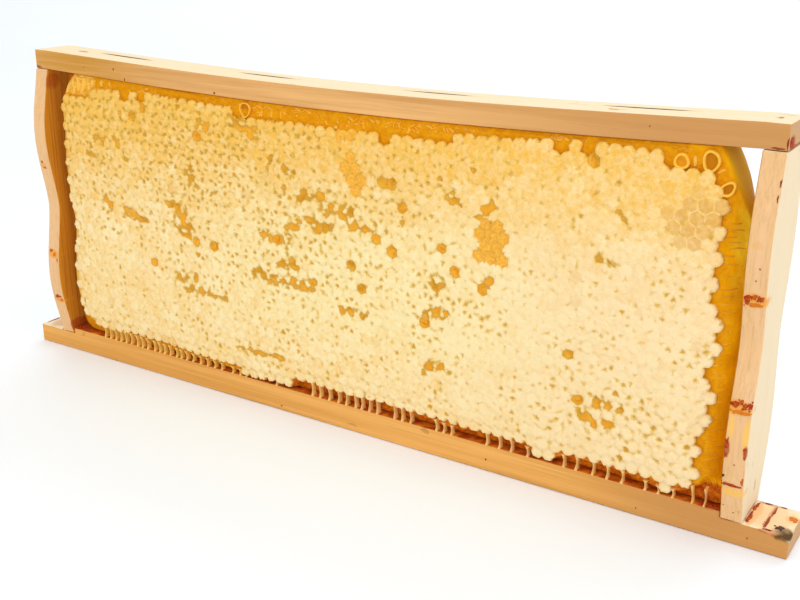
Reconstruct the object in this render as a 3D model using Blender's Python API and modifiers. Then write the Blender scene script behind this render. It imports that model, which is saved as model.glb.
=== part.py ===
"""A shallow beehive frame filled with capped honeycomb, standing upside down on its lug bar.

Origin: middle of the footprint, on the surface the lug bar stands on. +X runs along the
lug bar, -Y is the comb's front, +Z is up. Run with blender --background --python part.py.
"""

import math

import bmesh
import bpy
from mathutils import Vector

# Driving dimensions, metres
FRAME_HEIGHT = 0.159
FRAME_WIDTH = 0.368  # over the side bars
LUG_BAR_LENGTH = 0.403
LUG_BAR_THICKNESS = 0.012  # between the side bars
LUG_THICKNESS = 0.0093
BAR_DEPTH = 0.0215
SIDE_THICKNESS = 0.0083
UPPER_BAR_THICKNESS = 0.0092
UPPER_BAR_SAG = 0.0042
UPPER_BAR_STEPS = 36
GAP = 0.0003  # between pieces that touch
EDGE_ROUND = 0.0004

# Side bar: half its depth where it ends, at its waist and at its two spacing bulges
END_HALF = 0.0109
WAIST_HALF = 0.0122
BULGE_HALF = 0.0165
LOWER_BULGE_Z = 0.0435
BULGE_PITCH = 0.073
BULGE_FULLNESS = 0.8  # below 1 makes the bulges broader than a plain cosine
SIDE_STEPS = 44

# Chipped corner at the front of the right lug: how far it reaches each way
CHIP_LENGTH = 0.0048
CHIP_DEPTH = 0.0085
CHIP_DROP = 0.0024

# Narrow slits along the upper bar's top face
SLIT_COUNT = 4
SLIT_PITCH = 0.088
SLIT_SHIFT_X = -0.002
SLIT_Y = 0.002
SLIT_LENGTH = 0.037
SLIT_WIDTH = 0.0013
SLIT_CUT = 0.0012

# Comb: the capped faces stand proud of the bars, and its flanks slope back from them
CAP_EDGE_Y = 0.0106
CAP_Y = 0.0118
CROWN = 0.0012
FLANK_Y = 0.0082
CAP_SIDES = (-0.1695, 0.1680)
CAP_BOTTOM = 0.0170
CAP_BELOW_BAR = 0.0055
FLANK_SIDES = (-0.1716, 0.1742)
FLANK_BOTTOM = LUG_BAR_THICKNESS + GAP
# Corner radii along X and Z: lower right, upper right, upper left, lower left
CAP_CORNERS = ((0.007, 0.006), (0.012, 0.020), (0.009, 0.010), (0.014, 0.013))
FLANK_CORNERS = ((0.003, 0.003), (0.010, 0.026), (0.011, 0.016), (0.009, 0.008))
EDGE_WAVE = 0.0008
EDGE_WAVE_PITCH = 0.023
SIDE_POINTS = 15
LENGTH_POINTS = 40
CORNER_POINTS = 7
CROWN_RINGS = (0.985, 0.94, 0.84, 0.68, 0.45, 0.2)

COLLECTION = "honeycomb_frame"
INNER_X = FRAME_WIDTH / 2 - SIDE_THICKNESS
WOOD_COLOUR = (0.80, 0.58, 0.34)
COMB_COLOUR = (0.95, 0.76, 0.38)


def clear_scene():
    for obj in list(bpy.data.objects):
        bpy.data.objects.remove(obj, do_unlink=True)


def collection(name):
    made = bpy.data.collections.new(name)
    bpy.context.scene.collection.children.link(made)
    return made


def material(name, colour, roughness):
    made = bpy.data.materials.new(name)
    made.use_nodes = True
    shader = made.node_tree.nodes["Principled BSDF"]
    shader.inputs["Base Color"].default_value = (*colour, 1)
    shader.inputs["Roughness"].default_value = roughness
    shader.inputs["Metallic"].default_value = 0
    return made


def prism(name, outline, thickness, rotation=(0, 0, 0), location=(0, 0, 0)):
    """A closed mesh object: the flat outline, extruded half the thickness each way."""
    curve = bpy.data.curves.new(name, "CURVE")
    curve.dimensions = "2D"
    curve.fill_mode = "BOTH"
    curve.extrude = thickness / 2
    spline = curve.splines.new("POLY")
    spline.points.add(len(outline) - 1)
    for point, (u, v) in zip(spline.points, outline):
        point.co = (u, v, 0, 1)
    spline.use_cyclic_u = True
    guide = bpy.data.objects.new(name, curve)
    guide.rotation_euler = [math.radians(angle) for angle in rotation]
    guide.location = location
    bpy.context.scene.collection.objects.link(guide)
    bpy.context.view_layer.update()
    graph = bpy.context.evaluated_depsgraph_get()
    mesh = bpy.data.meshes.new_from_object(guide.evaluated_get(graph))
    placed = guide.matrix_world.copy()
    bpy.data.objects.remove(guide, do_unlink=True)
    bpy.data.curves.remove(curve)
    shape = bmesh.new()
    shape.from_mesh(mesh)
    bmesh.ops.remove_doubles(shape, verts=shape.verts, dist=1e-6)
    bmesh.ops.recalc_face_normals(shape, faces=shape.faces)
    shape.to_mesh(mesh)
    shape.free()
    mesh.name = name
    piece = bpy.data.objects.new(name, mesh)
    piece.matrix_world = placed
    return piece


def round_edges(piece):
    bevel = piece.modifiers.new("rounded edges", "BEVEL")
    bevel.width = EDGE_ROUND
    bevel.segments = 2
    bevel.limit_method = "ANGLE"
    bevel.angle_limit = math.radians(50)


def cut(piece, cutter, cutters):
    cutters.objects.link(cutter)
    cutter.hide_render = True
    cutter.display_type = "WIRE"
    boolean = piece.modifiers.new(cutter.name, "BOOLEAN")
    boolean.operation = "DIFFERENCE"
    boolean.solver = "EXACT"
    boolean.object = cutter


def lug_bar():
    """The thick bar below, with a thinner lug past each side bar."""
    end = LUG_BAR_LENGTH / 2
    step = INNER_X - GAP
    outline = [
        (-end, 0),
        (end, 0),
        (end, LUG_THICKNESS),
        (step, LUG_THICKNESS),
        (step, LUG_BAR_THICKNESS),
        (-step, LUG_BAR_THICKNESS),
        (-step, LUG_THICKNESS),
        (-end, LUG_THICKNESS),
    ]
    piece = prism("lug_bar", outline, BAR_DEPTH, rotation=(90, 0, 0))
    round_edges(piece)
    return piece


def chip_cutter():
    """A cube whose lowest face lies in the plane of the lug's broken corner."""
    end = LUG_BAR_LENGTH / 2
    front = -BAR_DEPTH / 2
    along = Vector((end - CHIP_LENGTH, front, LUG_THICKNESS))
    down = Vector((end, front, LUG_THICKNESS - CHIP_DROP))
    back = Vector((end, front + CHIP_DEPTH, LUG_THICKNESS))
    normal = (down - along).cross(back - along).normalized()
    if normal.z < 0:
        normal = -normal
    size = 0.03
    bpy.ops.mesh.primitive_cube_add(size=size)
    cutter = bpy.context.object
    cutter.name = "lug_chip"
    for held in list(cutter.users_collection):
        held.objects.unlink(cutter)
    cutter.rotation_mode = "QUATERNION"
    cutter.rotation_quaternion = normal.to_track_quat("Z", "Y")
    cutter.location = (along + down + back) / 3 + normal * size / 2
    return cutter


def sag(x):
    """How far the upper bar has dropped at x."""
    if abs(x) >= INNER_X:
        return 0
    return UPPER_BAR_SAG * math.cos(math.pi / 2 * x / INNER_X)


def upper_bar():
    """The thin bar above, bowed down between the side bars."""
    shape = bmesh.new()
    bmesh.ops.create_cube(shape, size=1)
    size = (FRAME_WIDTH, BAR_DEPTH, UPPER_BAR_THICKNESS)
    bmesh.ops.scale(shape, vec=size, verts=shape.verts)
    bmesh.ops.bevel(
        shape, geom=shape.edges[:], offset=EDGE_ROUND, segments=2, profile=0.5, affect="EDGES"
    )
    for i in range(UPPER_BAR_STEPS + 1):
        x = INNER_X * (2 * i / UPPER_BAR_STEPS - 1)
        everything = shape.verts[:] + shape.edges[:] + shape.faces[:]
        bmesh.ops.bisect_plane(shape, geom=everything, plane_co=(x, 0, 0), plane_no=(1, 0, 0))
    middle = FRAME_HEIGHT - UPPER_BAR_THICKNESS / 2
    for vert in shape.verts:
        vert.co.z += middle - sag(vert.co.x)
    mesh = bpy.data.meshes.new("upper_bar")
    shape.to_mesh(mesh)
    shape.free()
    return bpy.data.objects.new("upper_bar", mesh)


def slit_cutter(number):
    """A lens-shaped blade that reaches a little into the upper bar's top face."""
    x = (number - (SLIT_COUNT - 1) / 2) * SLIT_PITCH + SLIT_SHIFT_X
    steps = 12
    side = []
    for i in range(steps + 1):
        share = 2 * i / steps - 1
        side.append((share * SLIT_LENGTH / 2, SLIT_WIDTH / 2 * (1 - share**2)))
    outline = side + [(u, -v) for u, v in reversed(side[1:-1])]
    height = 0.006
    bottom = FRAME_HEIGHT - sag(x) - SLIT_CUT
    place = (x, SLIT_Y, bottom + height / 2)
    return prism(f"slit_{number + 1}", outline, height, location=place)


def side_half_depth(z):
    """Half the side bar's depth at height z: two spacing bulges with a waist between."""
    foot, head = LUG_THICKNESS, FRAME_HEIGHT - UPPER_BAR_THICKNESS
    share = (z - foot) / (head - foot)
    low = END_HALF + (WAIST_HALF - END_HALF) * math.sin(math.pi * share)
    wave = 0.5 + 0.5 * math.cos(2 * math.pi * (z - LOWER_BULGE_Z) / BULGE_PITCH)
    return low + (BULGE_HALF - low) * wave**BULGE_FULLNESS


def side_bar(name, side):
    foot = LUG_THICKNESS + GAP
    head = FRAME_HEIGHT - UPPER_BAR_THICKNESS - GAP
    front = []
    for i in range(SIDE_STEPS + 1):
        z = foot + (head - foot) * i / SIDE_STEPS
        front.append((-side_half_depth(z), z))
    outline = front + [(-y, z) for y, z in reversed(front)]
    place = (side * (FRAME_WIDTH - SIDE_THICKNESS) / 2, 0, 0)
    piece = prism(name, outline, SIDE_THICKNESS, rotation=(90, 0, 90), location=place)
    round_edges(piece)
    return piece


def corner(centre, radii, start):
    """A quarter of an ellipse, anticlockwise from the start angle, without its end point."""
    points = []
    for i in range(CORNER_POINTS):
        angle = start + math.pi / 2 * i / CORNER_POINTS
        x = centre[0] + radii[0] * math.cos(angle)
        z = centre[1] + radii[1] * math.sin(angle)
        points.append((x, z))
    return points


def line(start, end, count):
    """Evenly spaced points from start to end, without the end point."""
    points = []
    for i in range(count):
        share = i / count
        points.append(tuple(a + (b - a) * share for a, b in zip(start, end)))
    return points


def comb_outline(sides, bottom, below_bar, corners):
    """Anticlockwise outline in X and Z, whose top follows the sagging bar."""
    left, right = sides
    (rx0, rz0), (rx1, rz1), (rx2, rz2), (rx3, rz3) = corners
    top = FRAME_HEIGHT - UPPER_BAR_THICKNESS - below_bar
    points = line((left + rx3, bottom), (right - rx0, bottom), LENGTH_POINTS)
    points += corner((right - rx0, bottom + rz0), (rx0, rz0), -math.pi / 2)
    points += line((right, bottom + rz0), (right, top - rz1), SIDE_POINTS)
    points += corner((right - rx1, top - rz1), (rx1, rz1), 0)
    points += line((right - rx1, top), (left + rx2, top), LENGTH_POINTS)
    points += corner((left + rx2, top - rz2), (rx2, rz2), math.pi / 2)
    points += line((left, top - rz2), (left, bottom + rz3), SIDE_POINTS)
    points += corner((left + rx3, bottom + rz3), (rx3, rz3), math.pi)
    middle = (bottom + top) / 2
    shaped = []
    for x, z in points:
        height = max(0, (z - middle) / (top - middle))
        wave = EDGE_WAVE * math.sin(2 * math.pi * z / EDGE_WAVE_PITCH)
        inward = wave if abs(x) > INNER_X - 0.03 else 0
        shaped.append((x - math.copysign(abs(inward), x), z - sag(x) * height))
    return shaped


def scaled(outline, share):
    """The outline shrunk about its middle by the same distance on every side."""
    xs = [x for x, _ in outline]
    zs = [z for _, z in outline]
    cx, cz = (min(xs) + max(xs)) / 2, (min(zs) + max(zs)) / 2
    inset = (1 - share) * (max(zs) - min(zs)) / 2
    kx = 1 - inset / ((max(xs) - min(xs)) / 2)
    return [(cx + (x - cx) * kx, cz + (z - cz) * share) for x, z in outline]


def comb_rings():
    """Outlines from the middle of the front face to where the flank is full."""
    cap = comb_outline(CAP_SIDES, CAP_BOTTOM, CAP_BELOW_BAR, CAP_CORNERS)
    flank = comb_outline(FLANK_SIDES, FLANK_BOTTOM, GAP, FLANK_CORNERS)
    rings = []
    for share in reversed(CROWN_RINGS):
        rings.append((CAP_Y + CROWN * (1 - share**2), scaled(cap, share)))
    rings.append((CAP_EDGE_Y, cap))
    rings.append((FLANK_Y, flank))
    return rings


def comb():
    """The whole comb: a loft from its crowned front face, over the flanks, to the back."""
    front = [(-y, outline) for y, outline in comb_rings()]
    back = [(-y, outline) for y, outline in reversed(front)]
    shape = bmesh.new()
    rings = []
    for y, outline in front + back:
        rings.append([shape.verts.new((x, y, z)) for x, z in outline])
    count = len(rings[0])
    shape.faces.new(rings[0])
    shape.faces.new(reversed(rings[-1]))
    for near, far in zip(rings, rings[1:]):
        for i in range(count):
            j = (i + 1) % count
            shape.faces.new((near[i], far[i], far[j], near[j]))
    bmesh.ops.recalc_face_normals(shape, faces=shape.faces)
    mesh = bpy.data.meshes.new("comb")
    shape.to_mesh(mesh)
    shape.free()
    return bpy.data.objects.new("comb", mesh)


def finish(piece, held, look):
    held.objects.link(piece)
    piece.data.materials.clear()
    piece.data.materials.append(look)
    piece.data.shade_smooth()
    piece.data.set_sharp_from_angle(angle=math.radians(35))


def main():
    clear_scene()
    pieces = collection(COLLECTION)
    cutters = collection("cutters")
    wood = {}
    for name in ("lug_bar", "upper_bar", "side_bar_left", "side_bar_right"):
        wood[name] = material(f"{name}_wood", WOOD_COLOUR, 0.6)

    below = lug_bar()
    cut(below, chip_cutter(), cutters)
    finish(below, pieces, wood["lug_bar"])

    above = upper_bar()
    for number in range(SLIT_COUNT):
        cut(above, slit_cutter(number), cutters)
    finish(above, pieces, wood["upper_bar"])

    for name, side in (("side_bar_left", -1), ("side_bar_right", 1)):
        finish(side_bar(name, side), pieces, wood[name])

    finish(comb(), pieces, material("comb_wax", COMB_COLOUR, 0.4))


main()
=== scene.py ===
import math

import bmesh
import bpy
import numpy as np
from mathutils import Matrix, Vector, noise
from mathutils.bvhtree import BVHTree


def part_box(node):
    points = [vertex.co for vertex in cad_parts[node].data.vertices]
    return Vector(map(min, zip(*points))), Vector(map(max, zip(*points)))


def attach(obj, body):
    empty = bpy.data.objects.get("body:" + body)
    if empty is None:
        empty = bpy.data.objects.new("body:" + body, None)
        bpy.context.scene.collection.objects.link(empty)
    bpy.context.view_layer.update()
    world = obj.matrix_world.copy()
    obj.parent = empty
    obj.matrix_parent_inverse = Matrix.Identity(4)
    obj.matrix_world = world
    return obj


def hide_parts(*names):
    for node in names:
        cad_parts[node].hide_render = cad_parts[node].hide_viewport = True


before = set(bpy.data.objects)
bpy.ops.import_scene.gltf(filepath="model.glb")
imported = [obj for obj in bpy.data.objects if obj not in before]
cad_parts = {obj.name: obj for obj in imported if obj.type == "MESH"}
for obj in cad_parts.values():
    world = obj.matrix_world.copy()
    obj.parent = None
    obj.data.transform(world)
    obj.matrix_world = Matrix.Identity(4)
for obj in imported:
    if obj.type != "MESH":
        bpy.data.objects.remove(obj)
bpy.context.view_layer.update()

# All shapes below are worked out in millimetres and scaled once, when a mesh is made.
MM = 0.001

# The comb: an upright hexagonal lattice with horizontal rows
PITCH = 5.38
ROW = 4.66
FIRST_ROW_Z = 10.6
COLUMNS = 35  # each way from the middle
ROWS = 32

# Edge of the capped area, anticlockwise from the lower left
CAP_EDGE = [
    (-157, 18), (-150, 17), (-130, 16.5), (-110, 16), (-90, 15), (-60, 14), (-51, 13.2),
    (-42, 13.2), (-38, 15), (-33, 14), (-27, 13.5), (-24, 17), (-10, 17.5), (10, 18), (25, 19),
    (40, 17), (50, 16), (58, 15), (75, 17), (90, 16.6), (97, 14.5), (101, 13), (105, 13),
    (109, 15.8), (120, 17.2), (132, 16.7), (140, 15.8), (150, 14), (156, 14), (160, 15.4),
    (163.5, 17.6), (166.5, 20.5),
    (167.5, 25), (165.5, 28), (167.5, 34), (167, 43), (169, 51), (168.5, 57), (170, 63),
    (166.5, 67), (167.5, 73), (170, 79), (171.3, 84), (169.5, 89), (165, 92), (166.5, 96),
    (164.5, 101), (168, 107), (164, 112), (166, 120), (167, 130), (166, 138), (162, 145),
    (150, 146), (132, 146), (118, 145.6), (114.5, 143.4), (110, 144.9), (100, 144.4), (90, 144.8), (76, 144.2),
    (66, 142.4), (50, 140.3), (20, 140), (8, 138.3),
    (-2, 138.6), (-14, 141), (-32, 140), (-45, 139.3), (-56, 142), (-70, 143), (-82, 145),
    (-100, 145.5), (-112, 142.4), (-130, 144), (-146, 141.5), (-161, 141.5), (-166, 137.5),
    (-168.6, 132), (-168.2, 120), (-169.6, 105), (-169.2, 90), (-167.7, 80), (-166.7, 70),
    (-168.2, 60), (-169.7, 50), (-170.6, 42), (-169.2, 32), (-166.6, 25), (-163, 20.5),
]

# Single cells without a cap, filled with honey: x, z
OPEN_CELLS = [
    (-10, 107), (-109.5, 59.5), (22.5, 117), (28, 116.5), (20, 94), (28, 91), (8, 78),
    (13.5, 73), (56, 94), (75, 87), (117, 42), (-109, 139), (-118, 134), (-79, 127), (45, 63),
    (34, 108), (-69, 76.5), (73, 83), (-83, 77), (113, 62.5), (-126, 84.5), (-30, 86),
    (115, 138.5), (-7, 94), (59, 89),
]

# Larger open cells with pale rims: x, z, half width, half height, lean in degrees
RIMMED_CELLS = [
    (-49.5, 141.5, 2.7, 3.1, 0), (159, 143.6, 2.7, 3.5, 0), (165.6, 134.6, 1.9, 2.9, -48),
    (148.6, 142.4, 2.4, 2.4, 0),
]

# Uncapped patches: x, z, half width, half height
PATCHES = [(76.5, 102, 7.6, 9.8), (8.5, 124.5, 4.6, 7.0), (10, 115.5, 4.2, 6.0), (3, 137, 5, 3)]

# Chains of gaps between caps, as polylines
CHAINS = [
    [(-82, 113), (-84, 110), (-81, 105)], [(-142, 90), (-138, 86)],
    [(-128, 86), (-123, 83), (-115, 81.5)], [(-96, 92), (-90, 90), (-88, 85), (-84, 80)],
    [(-95, 83), (-90, 79), (-86, 77.5)], [(-20, 105), (-17, 109), (-10, 108), (-5, 103)],
    [(-2, 104), (3, 102), (9, 103)], [(-14, 97), (-8, 93), (-3, 96)], [(-25, 91), (-21, 94)],
    [(-41, 86), (-34, 85), (-26, 85)], [(8, 98), (18, 98)], [(-36, 118), (-33, 122)],
    [(-27, 119), (-22, 117)], [(52, 80), (50, 77), (49, 81)], [(44, 62), (48, 67), (55, 66)],
    [(46, 41), (50, 43), (57, 43)], [(127, 122), (130, 118)], [(121, 102), (124, 103.5), (126, 100)],
    [(-47, 69), (-40, 66), (-28, 66), (-14, 66), (-12, 69)], [(-52, 138), (-56, 136)],
    [(70, 112), (76, 116)], [(57, 117), (62, 114)], [(-96, 57), (-82, 57)], [(-88, 52), (-64, 51)],
    [(-58, 28), (-44, 27), (-32, 28)], [(118, 38), (124, 35), (131, 36)], [(124, 45), (133, 44)],
    [(-52, 134), (-44, 131)], [(-76, 133), (-70, 131)], [(-33, 74), (-22, 75)],
    [(-145, 118), (-138, 119)], [(-131, 120), (-129, 118)], [(-125.5, 113.5), (-124, 111)],
    [(-150, 111), (-147, 110)], [(-143, 108), (-140, 107)], [(3, 58), (7, 59)], [(13, 57), (16, 58)],
]

# Where caps stand apart: x, z, spread along x, spread along z, strength
WORN = [
    (-150, 136, 28, 11, 0.6), (-110, 135, 32, 10, 0.6), (-60, 134, 34, 9, 0.65),
    (-20, 134, 26, 9, 0.75), (-138, 121, 34, 13, 0.55), (-95, 112, 28, 18, 0.5),
    (-90, 86, 9, 12, 0.95), (-135, 87, 16, 7, 0.4), (-30, 88, 17, 9, 0.5),
    (-12, 104, 16, 10, 0.7), (-30, 68, 26, 9, 0.55), (8, 78, 14, 12, 0.5),
    (12, 98, 20, 8, 0.45), (30, 116, 26, 13, 0.55), (62, 92, 16, 14, 0.6),
    (52, 66, 12, 16, 0.4), (52, 43, 10, 5, 0.55), (128, 38, 22, 8, 0.75),
    (150, 34, 16, 10, 0.4), (-85, 56, 20, 6, 0.5), (-45, 27, 18, 3, 0.45),
    (-100, 64, 12, 8, 0.3), (78, 38, 14, 8, 0.3), (152, 90, 9, 9, 0.3),
    (66, 72, 14, 8, 0.3), (-60, 120, 20, 10, 0.35),
]

# Yellow walls at the upper left corner: x, from z, to z
CORNER_WALLS = [
    (-164.6, 139, 147.2), (-160.4, 142, 147.6), (-156.6, 140.5, 147.3), (-152.4, 141, 147.4),
    (-148.6, 141, 145.5), (-146.2, 143, 147),
]

# Left standing between the cap edge and the lower bar, as thin walls: x
FOOT_WALLS = [
    -98, -94.2, -89.6, -85, -80.4, -75.6, -71, -64, -59.5, -55.5, -37, -15.6, -11.2, -6.2, -0.9,
    3.7, 8.3, 12.1, 16.4, 20.4, 29.2, 33.6, 38, 51, 55, 59, 76, 82, 87.4, 95, 111, 117, 124,
    130, 136.4, 146, 151, 157, 164.2, 169.5,
]


# ---------------------------------------------------------------- materials

class Look:
    """A Principled material, with short names for the nodes that its patterns need."""

    def __init__(self, name, roughness=0.5, **fixed):
        self.material = bpy.data.materials.new(name)
        self.material.use_nodes = True
        self.tree = self.material.node_tree
        self.shader = self.tree.nodes["Principled BSDF"]
        self.shader.inputs["Roughness"].default_value = roughness
        for key, value in fixed.items():
            self.shader.inputs[key.replace("_", " ")].default_value = value
        self.place = self.node("TexCoord").outputs["Object"]

    def node(self, kind):
        return self.tree.nodes.new("ShaderNode" + kind)

    def join(self, value, socket):
        if isinstance(value, bpy.types.NodeSocket):
            self.tree.links.new(value, socket)
        elif isinstance(value, tuple) and len(value) == 3 and socket.type == "RGBA":
            socket.default_value = (*value, 1)
        else:
            socket.default_value = value

    def stretched(self, scale):
        made = self.node("VectorMath")
        made.operation = "MULTIPLY"
        self.join(self.place, made.inputs[0])
        made.inputs[1].default_value = scale
        return made.outputs[0]

    def noise(self, scale, detail=2, stretch=None, roughness=0.5, colour=False, distortion=0):
        made = self.node("TexNoise")
        self.join(self.stretched(stretch) if stretch else self.place, made.inputs["Vector"])
        made.inputs["Scale"].default_value = scale
        made.inputs["Detail"].default_value = detail
        made.inputs["Roughness"].default_value = roughness
        made.inputs["Distortion"].default_value = distortion
        return made.outputs["Color" if colour else "Fac"]

    def maths(self, operation, a, b=0.0, clamp=False):
        made = self.node("Math")
        made.operation = operation
        made.use_clamp = clamp
        self.join(a, made.inputs[0])
        self.join(b, made.inputs[1])
        return made.outputs[0]

    def spread(self, value, low, high, to_low=0.0, to_high=1.0):
        made = self.node("MapRange")
        made.interpolation_type = "SMOOTHSTEP"
        self.join(value, made.inputs["Value"])
        for key, number in zip(("From Min", "From Max", "To Min", "To Max"),
                               (low, high, to_low, to_high)):
            made.inputs[key].default_value = number
        return made.outputs["Result"]

    def mix(self, share, a, b, blend="MIX"):
        made = self.node("Mix")
        made.data_type = "RGBA"
        made.blend_type = blend
        self.join(share, made.inputs["Factor"])
        self.join(a, [s for s in made.inputs if s.name == "A" and s.type == "RGBA"][0])
        self.join(b, [s for s in made.inputs if s.name == "B" and s.type == "RGBA"][0])
        return [s for s in made.outputs if s.type == "RGBA"][0]

    def painted(self, name):
        made = self.node("Attribute")
        made.attribute_name = name
        split = self.node("SeparateColor")
        self.join(made.outputs["Color"], split.inputs[0])
        return [*split.outputs, made.outputs["Alpha"]]

    def axes(self, socket):
        split = self.node("SeparateXYZ")
        self.join(socket, split.inputs[0])
        return split.outputs

    def normal(self):
        return self.axes(self.node("NewGeometry").outputs["Normal"])

    def spot(self, centre, radii, ragged=0.35, scale=260, soft=0.45):
        """1 inside a soft-edged ellipsoid in millimetres, 0 outside."""
        inverse = tuple(1 / (r * MM) for r in radii)
        shift = tuple(-c * MM * k for c, k in zip(centre, inverse))
        placed = self.node("VectorMath")
        placed.operation = "MULTIPLY_ADD"
        self.join(self.place, placed.inputs[0])
        placed.inputs[1].default_value = inverse
        placed.inputs[2].default_value = shift
        size = self.node("VectorMath")
        size.operation = "LENGTH"
        self.join(placed.outputs[0], size.inputs[0])
        wobble = self.maths("MULTIPLY", self.noise(scale, 3), ragged * 2)
        reach = self.maths("SUBTRACT", self.maths("ADD", size.outputs["Value"], wobble), ragged)
        return self.spread(reach, 1, 1 - soft)

    def bump(self, height, strength, distance):
        made = self.node("Bump")
        made.inputs["Strength"].default_value = strength
        made.inputs["Distance"].default_value = distance
        self.join(height, made.inputs["Height"])
        self.join(made.outputs["Normal"], self.shader.inputs["Normal"])

    def colour(self, value):
        self.join(value, self.shader.inputs["Base Color"])

    def rough(self, value):
        self.join(value, self.shader.inputs["Roughness"])


YELLOW_WAX = (0.86, 0.465, 0.052)
PALE_WAX = (0.935, 0.765, 0.43)
PIT_WAX = (0.60, 0.35, 0.04)
DEEP_PIT = (0.55, 0.265, 0.01)
OLIVE = (0.58, 0.27, 0.004)
AMBER = (0.88, 0.37, 0.006)
GOLD = (0.86, 0.44, 0.025)
CREASE = (0.92, 0.57, 0.10)
BAND_DARK = (0.70, 0.255, 0.002)
BAND_LIGHT = (0.82, 0.37, 0.008)
DARK_RED = (0.44, 0.065, 0.005)


def cap_wax():
    look = Look("capped_wax", 0.45, Subsurface_Weight=0.12, Specular_IOR_Level=0.25)
    look.shader.inputs["Subsurface Radius"].default_value = (0.0015, 0.0009, 0.0004)
    look.shader.inputs["Subsurface Scale"].default_value = 1.0
    pale, gap, thin, gold = look.painted("wax")
    share = look.maths("ADD", pale, look.maths("MULTIPLY", look.noise(60, 3), 0.4))
    mottle = look.maths("MULTIPLY", look.spread(look.noise(520, 3, roughness=0.65), 0.3, 0.7), 0.45)
    share = look.maths("SUBTRACT", look.maths("ADD", share, mottle), 0.42, clamp=True)
    base = look.mix(share, YELLOW_WAX, PALE_WAX)
    blush = look.spread(look.noise(300, 2), 0.5, 0.72)
    rightward = look.spread(look.axes(look.place)[0], 0.01, 0.16, 0.25, 0.6)
    base = look.mix(look.maths("MULTIPLY", blush, rightward), base, (0.91, 0.58, 0.24))
    olive = look.spread(look.noise(430, 2, stretch=(1, 1.3, 0.9)), 0.52, 0.74)
    base = look.mix(look.maths("MULTIPLY", olive, 0.35), base, (0.90, 0.68, 0.19))
    grainy = look.spread(look.noise(1500, 3, roughness=0.7), 0.35, 0.7)
    base = look.mix(look.maths("MULTIPLY", grainy, 0.2), base, (0.96, 0.74, 0.32))
    thinner = look.maths("MULTIPLY", thin, look.spread(look.noise(600, 3), 0.35, 0.65, 0.55, 1))
    base = look.mix(thinner, base, (0.75, 0.40, 0.085))
    x, _, z = look.axes(look.place)
    # Painted shade: the wax is darker towards the lower right, to offset the key light from the right.
    lower_right_shade = look.maths("MULTIPLY", look.spread(x, 0.0, 0.14), look.spread(z, 0.125, 0.095, 0, 0.45))
    base = look.mix(lower_right_shade, base, (0.88, 0.65, 0.37))
    middle = look.maths("MULTIPLY", look.spread(x, -0.1, -0.03), look.spread(x, 0.12, 0.06))
    middle = look.maths("MULTIPLY", middle, look.spread(z, 0.125, 0.09, 0, 0.25))
    middle = look.maths("MULTIPLY", middle, look.spread(z, 0.03, 0.06))
    base = look.mix(middle, base, (0.90, 0.81, 0.41))
    upper_left = look.maths("MULTIPLY", look.spread(x, 0.07, -0.05), look.spread(z, 0.06, 0.11))
    crease = look.spread(gap, 0.05, 0.3, 0, 0.5)
    base = look.mix(crease, base, CREASE)
    fine = look.maths("MULTIPLY", look.maths("SUBTRACT", look.noise(1250, 3, roughness=0.65), 0.5), 0.9)
    uneven = look.maths("ADD", look.maths("MULTIPLY", upper_left, 1.1), 1.1)
    broad = look.maths("MULTIPLY", look.maths("SUBTRACT", look.noise(420, 2, stretch=(1, 1, 1.3)), 0.5), uneven)
    broad = look.maths("ADD", broad, look.maths("MULTIPLY", upper_left, 0.08))
    ragged = look.maths("ADD", look.maths("ADD", look.maths("MULTIPLY", gap, 2), fine), broad)
    base = look.mix(look.spread(ragged, 0.15, 0.95, 0, 0.9), base,
                    look.mix(look.spread(ragged, 0.65, 1.0), PIT_WAX, DEEP_PIT))
    amber = look.spread(ragged, 0.95, 1.3)
    mottled = look.spread(look.noise(450, 3), 0.35, 0.7)
    browner = look.spread(look.noise(110, 2), 0.42, 0.62)
    filled = look.mix(look.maths("MULTIPLY", browner, 0.85), AMBER, OLIVE)
    base = look.mix(amber, base, look.mix(look.maths("MULTIPLY", mottled, 0.7), filled, GOLD))
    granular = look.spread(look.noise(850, 3, roughness=0.6), 0.38, 0.66)
    base = look.mix(gold, base, look.mix(granular, (0.84, 0.39, 0.02), (0.95, 0.52, 0.07)))
    look.colour(base)
    look.rough(look.spread(amber, 0, 1, 0.5, 0.25))
    height = look.maths("SUBTRACT", look.noise(1100, 3), look.maths("MULTIPLY", look.spread(ragged, 0.2, 1.0), 0.9))
    look.bump(height, 0.4, 0.0003)
    return look.material


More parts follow.
